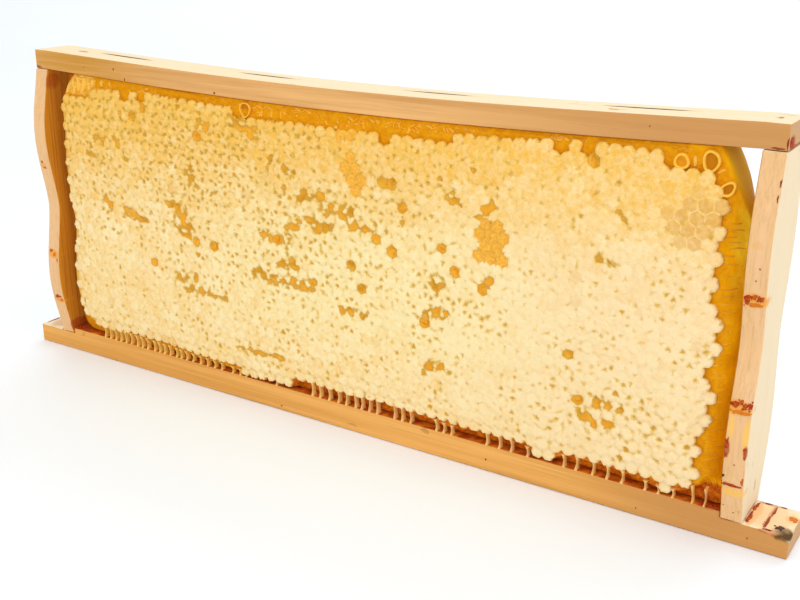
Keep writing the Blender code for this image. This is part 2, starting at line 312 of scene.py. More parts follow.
def core_wax():
    look = Look("honey_and_cells", 0.5, Specular_IOR_Level=0.02)
    pale, dark_red_and_shade, gold, chance = look.painted("zone")
    mottled = look.spread(look.noise(330, 4, roughness=0.65), 0.38, 0.66)
    base = look.mix(look.maths("MULTIPLY", mottled, 0.8), BAND_DARK, BAND_LIGHT)
    # The right flank's golden honey, partly painted light that stands in for light shining through the honey.
    height = look.spread(look.axes(look.place)[2], 0.03, 0.1)
    base = look.mix(gold, base, look.mix(height, (1.0, 0.43, 0.003), (1.0, 0.50, 0.003)))
    streak = look.spread(look.noise(480, 2, stretch=(1, 1, 0.3)), 0.45, 0.7)
    base = look.mix(look.maths("MULTIPLY", streak, 0.2), base, (0.66, 0.23, 0.001))
    fine = look.spread(look.noise(1100, 4, roughness=0.7), 0.4, 0.62)
    base = look.mix(look.maths("MULTIPLY", fine, look.maths("MULTIPLY", look.maths("SUBTRACT", 1, gold), 0.35)), base, (0.86, 0.40, 0.01))
    # Dark red in the recessed pockets along the bottom, and painted shade at the upper left corner.
    base = look.mix(dark_red_and_shade, base, look.mix(mottled, DARK_RED, (0.78, 0.23, 0.012)))
    base = look.mix(pale, base, (0.92, 0.58, 0.12))
    # Painted light: the bright gold strip on the comb's upper right side, carried in the last channel of the zone
    # colour.
    base = look.mix(look.maths("SUBTRACT", 1, chance), base, (1.0, 0.72, 0.03))
    look.colour(base)
    look.rough(look.spread(look.noise(500, 2), 0.3, 0.7, 0.35, 0.6))
    look.bump(look.noise(700, 3), 0.5, 0.0005)
    return look.material


def wall_wax():
    look = Look("cell_wall_wax", 0.6, Specular_IOR_Level=0.03)
    pale, pink, dark, chance = look.painted("wall")
    base = look.mix(pale, (0.93, 0.48, 0.03), (0.97, 0.72, 0.22))
    base = look.mix(look.maths("MULTIPLY", pink, 0.8), base, (0.88, 0.42, 0.20))
    base = look.mix(dark, base, (0.52, 0.14, 0.01))
    grain = look.spread(look.noise(900, 3), 0.35, 0.7)
    base = look.mix(look.maths("MULTIPLY", grain, 0.25), base, (0.70, 0.36, 0.04))
    look.colour(base)
    look.bump(look.noise(900, 2), 0.3, 0.0002)
    return look.material


def honey():
    look = Look("honey", 0.25, Specular_IOR_Level=0.05)
    warm, _, _, _ = look.painted("tone")
    base = look.mix(warm, (0.88, 0.42, 0.015), (0.52, 0.19, 0.001))
    deep = look.spread(look.noise(400, 3), 0.35, 0.7)
    look.colour(look.mix(look.maths("MULTIPLY", deep, 0.4), base, (0.62, 0.22, 0.002)))
    look.bump(look.noise(500, 2), 0.15, 0.0003)
    return look.material


def propolis():
    look = Look("propolis", 0.4, Coat_Weight=0.08, Coat_Roughness=0.2, Specular_IOR_Level=0.15)
    tone, dark, _, _ = look.painted("tone")
    base = look.mix(tone, (0.36, 0.022, 0.001), (0.85, 0.30, 0.01))
    lighter = look.spread(look.noise(700, 4, roughness=0.7), 0.4, 0.65)
    base = look.mix(look.maths("MULTIPLY", lighter, 0.5), base, (0.74, 0.17, 0.004))
    base = look.mix(dark, base, (0.055, 0.03, 0.018))
    look.colour(base)
    look.bump(look.noise(900, 3), 0.6, 0.0004)
    return look.material


# Soft stains on the wood: centre and radii in millimetres, colour, strength
RED_BROWN = (0.42, 0.07, 0.012)
ORANGE = (0.86, 0.34, 0.03)
YELLOW = (0.93, 0.53, 0.10)
STAINS = {
    "side_bar_right": [
        ((180, -14, 98), (6, 9, 3.2), ORANGE, 0.75), ((179, -14, 57.5), (6, 9, 3.6), ORANGE, 0.8),
        ((177.4, -14, 50), (1.3, 9, 6), YELLOW, 0.8), ((183, -17, 48), (1.6, 2.5, 8), YELLOW, 0.75),
        ((176.5, -14, 41), (1.6, 9, 4.5), RED_BROWN, 0.8),
        ((183.6, -17, 41), (1.3, 2.2, 3.2), RED_BROWN, 0.8),
        ((180, -12, 23), (6, 9, 2.4), YELLOW, 0.75), ((183.6, -17, 32), (1.2, 2.2, 4), ORANGE, 0.6),
        ((180, 0, 9.5), (7, 14, 1.6), RED_BROWN, 0.7), ((179, -13, 118), (3, 8, 2), ORANGE, 0.25),
        ((184, -15, 137.5), (0.6, 1.8, 4.5), (0.2, 0.05, 0.02), 0.6),
    ],
    "side_bar_left": [
        ((-180, -14, 54.5), (5, 9, 3), ORANGE, 0.75), ((-180, -13, 29), (5, 9, 2.2), ORANGE, 0.7),
        ((-181, -13, 101.5), (2.5, 8, 2.2), ORANGE, 0.6),
        ((-175.8, -9, 144), (1.2, 6, 4.5), RED_BROWN, 0.6),
        ((-175.8, -6, 14), (1.2, 12, 4), RED_BROWN, 0.8),
        ((-180, -13, 131), (2, 8, 1.2), ORANGE, 0.25),
    ],
    "upper_bar": [
        ((-160, -0.5, 159), (4, 2.2, 2), (0.35, 0.17, 0.07), 0.7),
        ((122, -4.5, 157), (5, 1.2, 2.5), ORANGE, 0.5), ((178, 0, 159), (1.2, 2.6, 2), (0.3, 0.14, 0.05), 0.75),
        ((184, -6, 152), (1.6, 4, 3), RED_BROWN, 0.85), ((184, 2, 150), (1.4, 8, 1.1), RED_BROWN, 0.75),
        ((-183, -11, 150.5), (4, 2, 1.2), RED_BROWN, 0.5),
    ],
    "lug_bar": [
        ((191.5, 0, 9.3), (1.1, 13, 2), RED_BROWN, 0.85), ((199, 3, 9.3), (3.2, 3.5, 2), ORANGE, 0.75),
        ((186, 0, 9.3), (2.4, 13, 1.4), ORANGE, 0.55), ((198.6, -8, 8.6), (5.0, 5.0, 3.0), (0.09, 0.045, 0.015), 0.97),
        ((193, -10.8, 9.2), (5, 1.4, 1.2), RED_BROWN, 0.7), ((189, 10, 9.3), (6, 1.6, 1.5), (0.25, 0.1, 0.03), 0.6),
        ((-170, -5, 12), (12, 6, 1.4), RED_BROWN, 0.8), ((171, -6, 12), (9, 6, 1.4), RED_BROWN, 0.8),
        ((193, 0, 9.3), (10, 14, 2), (0.88, 0.55, 0.27), 0.6), ((-193, -2, 9.3), (7, 10, 1), RED_BROWN, 0.35), ((-201, 0, 9), (1.2, 12, 1.4), RED_BROWN, 0.6),
    ],
}


def wood(name, along, light, dark, lit_face_colour):
    """Planed softwood: grain along one axis, with painted light: paler where it faces up or outwards."""
    look = Look(name + "_wood", 0.6, Specular_IOR_Level=0.02)
    long_way = tuple(0.035 if axis == along else 1 for axis in "xyz")
    longer = tuple(0.012 if axis == along else 1 for axis in "xyz")
    broad = look.spread(look.noise(170, 3, stretch=long_way, distortion=0.3), 0.32, 0.68)
    base = look.mix(broad, dark, light)
    fibre = look.spread(look.noise(1300, 3, stretch=longer, roughness=0.7), 0.45, 0.75)
    base = look.mix(look.maths("MULTIPLY", fibre, 0.38), base, tuple(c * 0.62 for c in dark))
    bright = look.spread(look.noise(900, 2, stretch=longer), 0.55, 0.8)
    base = look.mix(look.maths("MULTIPLY", bright, 0.3), base, tuple(min(1, c * 1.25) for c in light))
    # Painted light: faces that point up or out to the sides get the paler lit-face colour, as if lit more strongly
    # than the front faces.
    facing = look.normal()
    up = look.spread(facing[2], 0.6, 0.95)
    lit_outward = look.spread(look.maths("ABSOLUTE", facing[0]), 0.6, 0.95)
    pale = look.mix(look.maths("MULTIPLY", fibre, 0.25), lit_face_colour, light)
    base = look.mix(look.maths("MAXIMUM", up, lit_outward), base, pale)
    flecks = look.spread(look.noise(260, 2, stretch=tuple(0.3 if a == along else 1 for a in "xyz")), 0.72, 0.76)
    base = look.mix(look.maths("MULTIPLY", flecks, 0.4), base, (0.32, 0.13, 0.04))
    if name.startswith("side_bar"):
        # Inner faces of the side bars: orange-brown, partly honey stain and partly painted shade, as they stand close
        # beside the comb.
        inner = 175.9 * MM
        across = look.maths("ABSOLUTE", look.axes(look.place)[0])
        inside = look.spread(across, inner + 0.0003, inner - 0.0001)
        base = look.mix(look.maths("MULTIPLY", inside, 0.97), base, look.mix(fibre, (0.60, 0.22, 0.004), (0.40, 0.12, 0.002)))
    else:
        place = look.axes(look.place)[0]
        ends = look.spread(place, 0.02, 0.15) if name == "upper_bar" else look.spread(place, 0.1, 0.17)
        ends = look.maths("MULTIPLY", ends, look.maths("SUBTRACT", 1, up, clamp=True))
        base = look.mix(look.maths("MULTIPLY", ends, 0.75), base, (0.555, 0.262, 0.086))
    if name == "lug_bar":
        # Red-brown on the bar's top between the side bars, where it runs under the comb.
        between = look.spread(look.maths("ABSOLUTE", look.axes(look.place)[0]), 0.184, 0.178)
        red_brown_top = look.mix(look.spread(look.noise(240, 3), 0.35, 0.65), (0.70, 0.20, 0.01), (0.42, 0.06, 0.004))
        base = look.mix(look.maths("MULTIPLY", look.maths("MULTIPLY", between, up), 0.99), base, red_brown_top)
    if name == "upper_bar":
        left = look.spread(look.axes(look.place)[0], -0.08, -0.155)
        left = look.maths("MULTIPLY", left, look.maths("SUBTRACT", 1, up, clamp=True))
        streaky = look.spread(look.noise(420, 2, stretch=long_way), 0.35, 0.65, 0.45, 0.95)
        base = look.mix(look.maths("MULTIPLY", left, streaky), base, (0.57, 0.27, 0.04))
        for number in range(4):
            x = (number - 1.5) * 88 - 2
            around = look.spot((x + 3, 2.6, 157), (21, 1.9, 4.5), 0.5, 500)
            base = look.mix(look.maths("MULTIPLY", around, 0.35), base, (0.50, 0.30, 0.14))
            # Painted shade: a near-black slot standing in for the dark inside of a narrow groove in the bar.
            slot_shade = look.spot((x, 2, 157), (18.6, 1.05, 4.5), 0.12, 300, 0.2)
            base = look.mix(slot_shade, base, (0.07, 0.045, 0.03))
    for centre, radii, colour, strength in STAINS[name]:
        share = look.maths("MULTIPLY", look.spot(centre, radii), strength)
        base = look.mix(share, base, colour)
    look.colour(base)
    look.rough(look.spread(fibre, 0, 1, 0.52, 0.72))
    look.bump(look.maths("ADD", fibre, look.maths("MULTIPLY", broad, 0.5)), 0.35, 0.0002)
    return look.material


# ---------------------------------------------------------------- meshes

class Soup:
    """Vertices, faces and one painted colour a vertex, gathered before a mesh is made."""

    def __init__(self):
        self.points, self.faces, self.paint, self.count = [], [], [], 0

    def add(self, points, faces, paint):
        points = np.asarray(points, float).reshape(-1, 3)
        paint = np.broadcast_to(np.asarray(paint, float), (len(points), 4))
        self.points.append(points)
        self.paint.append(paint)
        self.faces += [tuple(int(v) + self.count for v in face) for face in faces]
        self.count += len(points)

    def piece(self, name, material, slot, layer, sharp=None):
        mesh = bpy.data.meshes.new(name)
        mesh.from_pydata((np.concatenate(self.points) * MM).tolist(), [], self.faces)
        mesh.materials.append(material)
        held = mesh.color_attributes.new(layer, "FLOAT_COLOR", "POINT")
        held.data.foreach_set("color", np.concatenate(self.paint).astype(np.float32).ravel())
        mesh.shade_smooth()
        if sharp:
            mesh.set_sharp_from_angle(angle=math.radians(sharp))
        mesh.validate()
        made = bpy.data.objects.new(name, mesh)
        bpy.context.scene.collection.objects.link(made)
        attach(made, "root")
        return made


def scatter(x, z, salt=0):
    """A number from 0 to 1 that depends only on the place."""
    mixed = np.sin(np.round(x * 5) * 12.9898 + np.round(z * 5) * 78.233 + salt * 37.719)
    return np.modf(np.abs(mixed * 43758.5453))[0]


def wavy(x, z, size, salt=0):
    """Smooth noise of about -1 to 1, with features of the given size."""
    k = 2 * math.pi / size
    a, b, c = salt * 1.7, salt * 2.9 + 1, salt * 4.3 + 2
    return (np.sin(x * k + a + 1.3 * np.sin(z * k * 0.7 + b))
            + np.sin(z * k * 1.1 + c + 1.1 * np.sin(x * k * 0.8 + a))
            + np.sin((x + z) * k * 0.6 + b)) / 3


def cloudy(x, z, size, salt=0):
    """Perlin noise of about -0.5 to 0.5 with features of the given size."""
    x, z = np.broadcast_arrays(np.asarray(x, float), np.asarray(z, float))
    made = [noise.noise(Vector((u / size, v / size, salt * 7.31))) for u, v in zip(x.ravel(), z.ravel())]
    return np.array(made).reshape(x.shape)


def inside_by(x, z, edge):
    """Distance inside a closed outline, negative outside it."""
    x, z = np.asarray(x, float), np.asarray(z, float)
    best = np.full(x.shape, 1e9)
    inside = np.zeros(x.shape, bool)
    for (x0, z0), (x1, z1) in zip(edge, edge[1:] + edge[:1]):
        dx, dz = x1 - x0, z1 - z0
        share = np.clip(((x - x0) * dx + (z - z0) * dz) / (dx * dx + dz * dz), 0, 1)
        best = np.minimum(best, np.hypot(x - x0 - share * dx, z - z0 - share * dz))
        if dz:
            crosses = ((z0 > z) != (z1 > z)) & (x < x0 + (z - z0) / dz * dx)
            inside ^= crosses
    return np.where(inside, best, -best)


def chain_distance(x, z):
    """Distance to the nearest chain of gaps."""
    best = np.full(np.shape(x), 1e9)
    for chain in CHAINS:
        for (x0, z0), (x1, z1) in zip(chain, chain[1:]):
            dx, dz = x1 - x0, z1 - z0
            share = np.clip(((x - x0) * dx + (z - z0) * dz) / (dx * dx + dz * dz), 0, 1)
            best = np.minimum(best, np.hypot(x - x0 - share * dx, z - z0 - share * dz))
    return best


def worn(x, z, back):
    if back:
        x = -x * 0.83 + 17
    total = 0.16 + 0 * x
    for cx, cz, rx, rz, strength in WORN:
        total = total + strength * np.exp(-(((x - cx) / rx) ** 2) - ((z - cz) / rz) ** 2)
    quiet = np.exp(-(((x + 145) / 26) ** 2) - ((z - 45) / 24) ** 2)
    return np.clip(total - 0.1 * quiet, 0.05, 1.2)


def paleness(x, z):
    """0 where the wax is yellow, along the top and left, to 1 where it is palest."""
    rise = np.clip((139 - z) / 58, 0, 1) ** 1.0
    low = np.clip((60 - z) / 60, 0, 1) * 0.05
    right = np.clip((x + 20) / 180, -0.8, 1) * 0.17
    return np.clip(rise * 0.8 - low + right + 0.07 * wavy(x, z, 38, 3), 0, 1)


def crown(depth):
    """How far the cap edges stand out from the middle plane, by depth inside the cap edge."""
    return 10.2 + 1.7 * (1 - np.exp(-np.maximum(depth, 0) / 4.5))


BAR = {name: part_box(name) for name in ("lug_bar", "upper_bar", "side_bar_left", "side_bar_right")}
COMB_LOW, COMB_HIGH = (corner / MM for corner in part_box("comb"))
INNER_X = BAR["side_bar_right"][0].x / MM
SAG = (BAR["upper_bar"][1].z - BAR["upper_bar"][0].z) / MM - 9.2


def ceiling(x):
    """Underside of the upper bar above the comb, at x."""
    return COMB_HIGH.z + 0.3 - SAG * np.cos(np.pi / 2 * np.clip(x / INNER_X, -1, 1))


CORE_RIGHT = COMB_HIGH.x + 1.2  # the comb is stuck to the right side bar
SHOULDER = (14.1, 35.0, 1.7)  # width, height and power of the comb's upper right shoulder


def right_limit(z):
    """Where the comb ends on the right at height z, along its steep shoulder."""
    wide, tall, power = SHOULDER
    rise = np.clip((z - (COMB_HIGH.z - tall)) / tall, 0, 1)
    return CORE_RIGHT - wide + wide * (1 - rise ** (2 / power)) ** (power / 2)


def core_out(x, z):
    """Half the thickness of the honey-filled core under and around the caps."""
    depth = inside_by(x, z, CAP_EDGE)
    beyond = np.maximum(-depth, 0)
    under = 9.55 + 0 * depth
    step = np.clip(beyond / 1.2, 0, 1)
    step = step * step * (3 - 2 * step)
    low = 9.7 - 3.6 * step
    top = 9.7 - 0.7 * step + 0.25 * wavy(x, z, 5.2, 2)
    sides = 9.8 - 0.75 * beyond - 0.05 * beyond**2 + 0.15 * wavy(x, z, 6, 1)
    out = np.where(z < 22, low, np.where(z > 134, top, sides))
    near_side = np.clip((np.abs(x) - 158) / 8, 0, 1) * (z > 22)
    out = out * (1 - near_side) + np.minimum(sides, out) * near_side
    return np.where(depth > 0, under, np.maximum(out, 2.5))


class Lattice:
    """Cell centres of one face of the comb, with their shared edges and corners."""

    def __init__(self, back):
        rng = np.random.default_rng(41 if back else 23)
        j, i = np.mgrid[0:ROWS, -COLUMNS:COLUMNS + 1].astype(float)
        x = PITCH * (i + 0.5 * (j % 2)) + (1.7 if back else 0)
        z = FIRST_ROW_Z + ROW * j
        salt = 9 if back else 0
        x = x + 0.9 * wavy(x, z, 60, salt + 1) + rng.normal(0, 0.17, x.shape)
        z = z + 1.1 * wavy(x, z, 75, salt + 2) + rng.normal(0, 0.17, x.shape)
        z = z + 2.0 * np.clip((x - 70) / 25, 0, 1) * np.clip((z - 100) / 42, 0, 1)
        self.back = back
        self.rng = rng
        self.centre = np.stack([x, z], -1)
        shifted = {}
        for dj, di in ((0, 1), (1, 0), (1, 1), (1, -1), (0, -1), (-1, -1), (-1, 0), (-1, 1)):
            shifted[dj, di] = np.roll(self.centre, (-dj, -di), (0, 1))
        odd = (np.arange(ROWS) % 2 == 1)[:, None, None]
        ring = [
            shifted[0, 1], np.where(odd, shifted[1, 1], shifted[1, 0]),
            np.where(odd, shifted[1, 0], shifted[1, -1]), shifted[0, -1],
            np.where(odd, shifted[-1, 0], shifted[-1, -1]),
            np.where(odd, shifted[-1, 1], shifted[-1, 0]),
        ]
        own = self.centre
        self.around = np.stack(ring, 2)
        self.edges = np.stack([(own + n) / 2 for n in ring], 2)
        self.corners = np.stack([(own + n + m) / 3 for n, m in zip(ring, ring[1:] + ring[:1])], 2)
        real = np.zeros(x.shape, bool)
        real[1:-1, 1:-1] = True
        depth = inside_by(x, z, CAP_EDGE)
        self.depth = depth
        self.in_comb = (real & (x > COMB_LOW.x + 1.5) & (x < COMB_HIGH.x - 1.5)
                        & (z > COMB_LOW.z + 1) & (z < ceiling(x) - 0.6))
        lost = (depth < 3.4) & (np.random.default_rng(8).random(depth.shape) < 0.1)
        self.capped = real & (depth > 0.8) & self.in_comb & ~(lost & (z > 120))
        self.opened = np.zeros(x.shape, bool)
        self.loose = np.zeros(x.shape, bool)
        self.open_cells()

    def open_cells(self):
        x, z = self.centre[..., 0], self.centre[..., 1]
        flip = -1 if self.back else 1
        for cx, cz in OPEN_CELLS:
            away = np.hypot(x - cx * flip, z - cz)
            away[~self.capped] = 1e9
            spot = np.unravel_index(np.argmin(away), away.shape)
            self.opened[spot] = True
        for cx, cz, rx, rz in PATCHES:
            ragged = 1 + 0.18 * wavy(x, z, 9, 5)
            self.loose |= np.hypot((x - cx * flip) / rx, (z - cz) / rz) < ragged
        if not self.back:
            for cx, cz, rx, rz, lean in RIMMED_CELLS:
                self.capped &= np.hypot((x - cx) / (rx + 2.0), (z - cz) / (rz + 2.0)) > 1
        self.loose &= self.capped
        self.opened &= self.capped & ~self.loose


def place_out(x, z, out, back):
    """Stacks x, y, z with the face turned to the front or the back."""
    return np.stack([x, out if back else -out, z], -1)


def shared(points):
    """Where each cell's points stand in the list of distinct points, that list, and their uses."""
    flat = points.reshape(-1, 2)
    _, first, which, uses = np.unique(np.round(flat, 3), axis=0, return_index=True,
                                      return_inverse=True, return_counts=True)
    return which.reshape(points.shape[:2]), flat[first], uses


def inward(points, least):
    """Points moved so that they stand at least so far inside the cap edge."""
    x, z = points[..., 0], points[..., 1]
    depth = inside_by(x, z, CAP_EDGE)
    slope = np.stack([inside_by(x + 0.2, z, CAP_EDGE) - inside_by(x - 0.2, z, CAP_EDGE),
                      inside_by(x, z + 0.2, CAP_EDGE) - inside_by(x, z - 0.2, CAP_EDGE)], -1)
    slope /= np.maximum(np.linalg.norm(slope, axis=-1, keepdims=True), 1e-6)
    return points + slope * np.maximum(least - depth, 0)[..., None]


def chain_gap(x, z, back):
    """The gap value of the open chains between caps: ragged bands of uneven width."""
    away = chain_distance(-x if back else x, z)
    width = 1.5 + 3.2 * cloudy(x, z, 2.6, 17 + back) + 1.8 * cloudy(x, z, 9, 19 + back)
    width = width * np.where((np.abs(x) > 100) & (z > 90), 0.75, 1)
    faint = ((np.abs(x) > 100) & (z > 90)) | ((np.abs(x + 55) < 50) & (z < 62))
    deepest = np.where(faint, 1.3, 1.9)
    return deepest * np.clip(1.4 - away / np.maximum(width, 0.4), 0, 1)


def network(x, z, back):
    """Where the caps' joints stand open in connected lines."""
    line = 1 - np.abs(cloudy(x, z, 8.5, 11 + back)) / 0.16
    patchy = cloudy(x, z, 21, 5 + back) * 1.5
    return np.clip(line, 0, 1) * np.clip((worn(x, z, back) + patchy - 0.45) * 2, 0, 1)


def relief(x, z, back):
    """How much lower the joints between caps are than their middles."""
    base = 0.05 + 0.16 * worn(x, z, back) + 0.3 * cloudy(x, z, 16, 3)
    return np.clip(base + 0.27 * domed(x, z), 0.03, 0.55)


def domed(x, z):
    """Where each cap stands round by itself: mostly at the lower right, and along the bottom."""
    corner = np.exp(-(((x - 140) / 34) ** 2) - ((z - 40) / 22) ** 2)
    return np.maximum(corner, 0.7 * np.clip((26 - z) / 8, 0, 1))


def dotty(x, z):
    """How strongly the joints are pitted: most at the upper left, least at the lower right."""
    across = np.clip((95 - x) / 90, 0, 1)
    up = np.clip((z - 45) / 50, 0, 1)
    return 0.6 + 0.4 * across * (0.25 + 0.75 * up)


def pit(gap):
    return 0.45 * np.minimum(gap, 1) + 0.75 * np.clip(gap - 1, 0, 1)


# How much of a joint's gap is left on the first and second rings of vertices inside a cap,
# from the middle of an edge to the corner and on
NEAR_GAP = np.array([0.6, 0.68, 0.84, 0.68] * 6)
NEXT_GAP = np.array([0.1, 0.36] * 6)
ROUNDING = np.array([0, 0.2, 0.7, 0.2] * 6)


def caps(lattice):
    """The capped face: low domes that run into each other, with pits and gaps in the joints.

    The gap value of a vertex is 0 on whole wax, about 1 in a pit and 2 where honey shows.
    """
    rng, back = lattice.rng, lattice.back
    keep = lattice.capped
    opened, loose = lattice.opened[keep], lattice.loose[keep]
    centre = lattice.centre[keep]
    count = len(centre)
    corner_of, corner, corner_uses = shared(lattice.corners[keep])
    edge_of, edge, edge_uses = shared(lattice.edges[keep])
    slanted = np.zeros(len(edge))
    slanted[edge_of] = np.array([0, 1, 1, 0, 1, 1])

    # Pits at the corners where three caps meet
    x, z = corner.T
    wear, net = worn(x, z, back), network(x, z, back)
    chance = rng.random(len(corner))
    strength = dotty(x, z) * (1 + 0.9 * cloudy(x, z, 13, 31 + back))
    corner_gap = 0.1 + strength * (0.3 * wear + (1.05 + 0.4 * wear) * chance**1.9) + 0.35 * net
    corner_gap = corner_gap + 0.08 * domed(x, z)
    blobs = rng.random(len(corner)) < 0.002 + 0.03 * wear * strength + 0.03 * net
    corner_gap = np.where(blobs, rng.uniform(1.0, 1.7, len(corner)), np.minimum(corner_gap, 0.95))
    corner_gap = np.maximum(corner_gap, chain_gap(x, z, back))
    corner_gap = np.where(corner_uses < 3, rng.uniform(0.3, 0.7, len(corner)), corner_gap)

    # Grooves along the edges that two caps share
    x, z = edge.T
    wear, net = worn(x, z, back), network(x, z, back)
    chance = rng.random(len(edge))
    strong = rng.uniform(0.3, 0.62 + 0.15 * wear)
    often = 0.03 + (0.25 + 0.2 * slanted) * wear * dotty(x, z) + 0.4 * net
    lowest = -0.25 + 0.3 * domed(x, z)
    edge_gap = np.where(chance < often, strong, rng.uniform(lowest, lowest + 0.35))
    edge_gap = np.maximum(edge_gap, chain_gap(x, z, back))
    edge_gap = np.where(edge_uses < 2, 0.3, edge_gap)

    # Corners on the outline draw back, so that each cap there is rounded
    own = np.repeat(centre[:, None], 6, 1)
    middle = np.zeros((len(corner), 2))
    np.add.at(middle, corner_of, own)
    middle /= corner_uses[:, None]
    back_by = np.select([corner_uses == 1, corner_uses == 2], [0.55, 0.4], 0.0)
    back_by = back_by * np.random.default_rng(3).uniform(0.2, 2.2, len(corner))
    towards = middle - corner
    towards /= np.maximum(np.linalg.norm(towards, axis=1, keepdims=True), 1e-6)
    corner = inward(corner + towards * back_by[:, None], np.where(corner[:, 0] < -150, -0.2, -0.9))
    edge = inward(edge, np.where(edge[:, 0] < -150, -0.2, -0.9))
    centre = inward(centre, 1.1)

    # Quarter points lie on an edge, nearer to its corner
    quarter_corner = np.stack([corner_of, corner_of], 2).reshape(count, 12)
    quarter_edge = np.stack([edge_of, np.roll(edge_of, -1, 1)], 2).reshape(count, 12)
    pairs, first, quarter_of = np.unique(quarter_edge * len(corner) + quarter_corner,
                                         return_index=True, return_inverse=True)
    quarter_of = quarter_of.reshape(count, 12)
    of_corner, of_edge = quarter_corner.ravel()[first], quarter_edge.ravel()[first]
    quarter = corner[of_corner] * 0.48 + edge[of_edge] * 0.52
    quarter_gap = 0.44 * corner_gap[of_corner] + 0.5 * edge_gap[of_edge]
    quarter_gap = quarter_gap * rng.uniform(0.8, 1.2, len(quarter))
    quarter_gap = np.maximum(quarter_gap, corner_gap[of_corner] - rng.uniform(0.45, 0.9, len(quarter)))

    places = np.concatenate([corner, edge, quarter])
    gaps = np.concatenate([corner_gap, edge_gap, quarter_gap])
    outer = np.concatenate([corner_uses < 3, edge_uses < 2, edge_uses[of_edge] < 2])
    ring = np.empty((count, 24), int)
    ring[:, 0::4] = len(corner) + edge_of
    ring[:, 2::4] = corner_of
    ring[:, 1::4] = len(corner) + len(edge) + quarter_of[:, 0::2]
    ring[:, 3::4] = len(corner) + len(edge) + quarter_of[:, 1::2]

    x, z = places.T
    level = crown(inside_by(x, z, CAP_EDGE)) + 0.62
    out = level - relief(x, z, back) - pit(gaps) - 0.3 * outer
    half_bare = np.zeros(len(places))
    np.add.at(half_bare, ring, np.repeat((opened | loose)[:, None] * 0.5, 24, 1))
    gaps = np.where(half_bare > 0, np.clip(gaps, 0, 0.35), np.clip(gaps, 0, 2))
    gaps = np.where(half_bare > 0.9, 1.1, gaps)
    golden = np.zeros(len(places))
    np.add.at(golden, ring, np.repeat(loose[:, None] * 0.34, 24, 1))
    golden = np.clip(golden * 1.1, 0, 1)
    pale = paleness(x, z) + rng.normal(0, 0.06, len(places))
    points = [place_out(x, z, out, back)]
    tones = [np.stack([pale, gaps / 2, 0 * gaps, golden], -1)]

    cx, cz = centre.T
    own_level = crown(inside_by(cx, cz, CAP_EDGE)) + 0.62
    lift = rng.normal(0, 0.09, count)
    tilt = rng.normal(0, 0.03, (count, 2))
    dented = np.where(rng.random(count) < 0.15, rng.uniform(0.1, 0.35, count), 0)
    own_pale = paleness(cx, cz) + rng.normal(0, 0.10, count)
    thin = np.where(rng.random(count) < 0.008, 0.45, 0)
    if not back:
        spread = np.hypot((cx - 159) / 13, (cz - 121) / 10)
        thin = np.maximum(thin, np.clip(1.7 - spread, 0, 1) * (rng.random(count) < 0.75) * (spread < 1.2))
        smear = np.hypot((cx + 105) / 6.5, (cz - 21) / 2.5)
        thin = np.maximum(thin, np.clip(1.1 - smear, 0, 0.6))
    wide = rng.uniform(0, 1, (count, 1))
    lean = rng.uniform(0, 2 * math.pi, (count, 1))

    rim_gap = gaps[ring]
    chained = chain_distance(-cx if back else cx, cz) < 6
    offset = places[ring] - centre[:, None]
    own_relief = relief(cx, cz, back)
    for share, which, low, loosely, weight in ((0.84, slice(None), 0.5, 0, 0.6), (0.55, slice(0, 24, 2), 0.1, 1, 1),
                                               (0.27, slice(2, 24, 4), 0.02, 2, 1), (0, slice(0, 1), 0, 3, 1)):
        rim = rim_gap[:, which]
        beyond = np.clip(rim - 1, 0, 1)
        drawn = share - 0.12 * beyond if loosely == 0 else np.full(rim.shape, share)
        at = centre[:, None] + offset[:, which] * drawn[..., None]
        gap = 0 * rim
        if loosely == 0:
            gap = NEAR_GAP * rim + 0.3 * beyond
        elif loosely == 1:
            gap = NEXT_GAP * rim + 0.25 * beyond
        open_share = (1, 0.72, 0.25, 0)[loosely]
        torn = chain_gap(at[chained, :, 0], at[chained, :, 1], back) * open_share
        gap[chained] = np.maximum(gap[chained], torn)
        turn = np.arctan2(offset[:, which, 1], offset[:, which, 0])
        mouth = 0.5 + 1.2 * wide + 0.75 * np.cos(turn - lean) + 0.3 * np.cos(2 * turn + lean)
        mouth = mouth + (0, 0.9, 1.2, 1.2)[loosely] + rng.normal(0, 0.12, rim.shape)
        if loosely == 0:
            mouth = mouth - ROUNDING
        gap = np.where(opened[:, None], np.maximum(mouth, gap), gap)
        gap = np.where(loose[:, None], 1.15 + rng.uniform(0, 0.5, rim.shape), gap)
        gap = np.clip(gap, 0, 2)
        sink = (1 if loosely == 3 else 0.5) * dented[:, None]
        out = own_level[:, None] - own_relief[:, None] * low - pit(gap) - sink
        out = out + weight * (lift[:, None] + ((at - centre[:, None]) * tilt[:, None]).sum(-1))
        out = out + rng.normal(0, 0.035, out.shape)
        points.append(place_out(at[..., 0], at[..., 1], out, back))
        tone = np.empty((*rim.shape, 4))
        tone[..., 0] = own_pale[:, None]
        tone[..., 1] = gap / 2
        tone[..., 2] = thin[:, None]
        tone[..., 3] = loose[:, None]
        tones.append(tone)

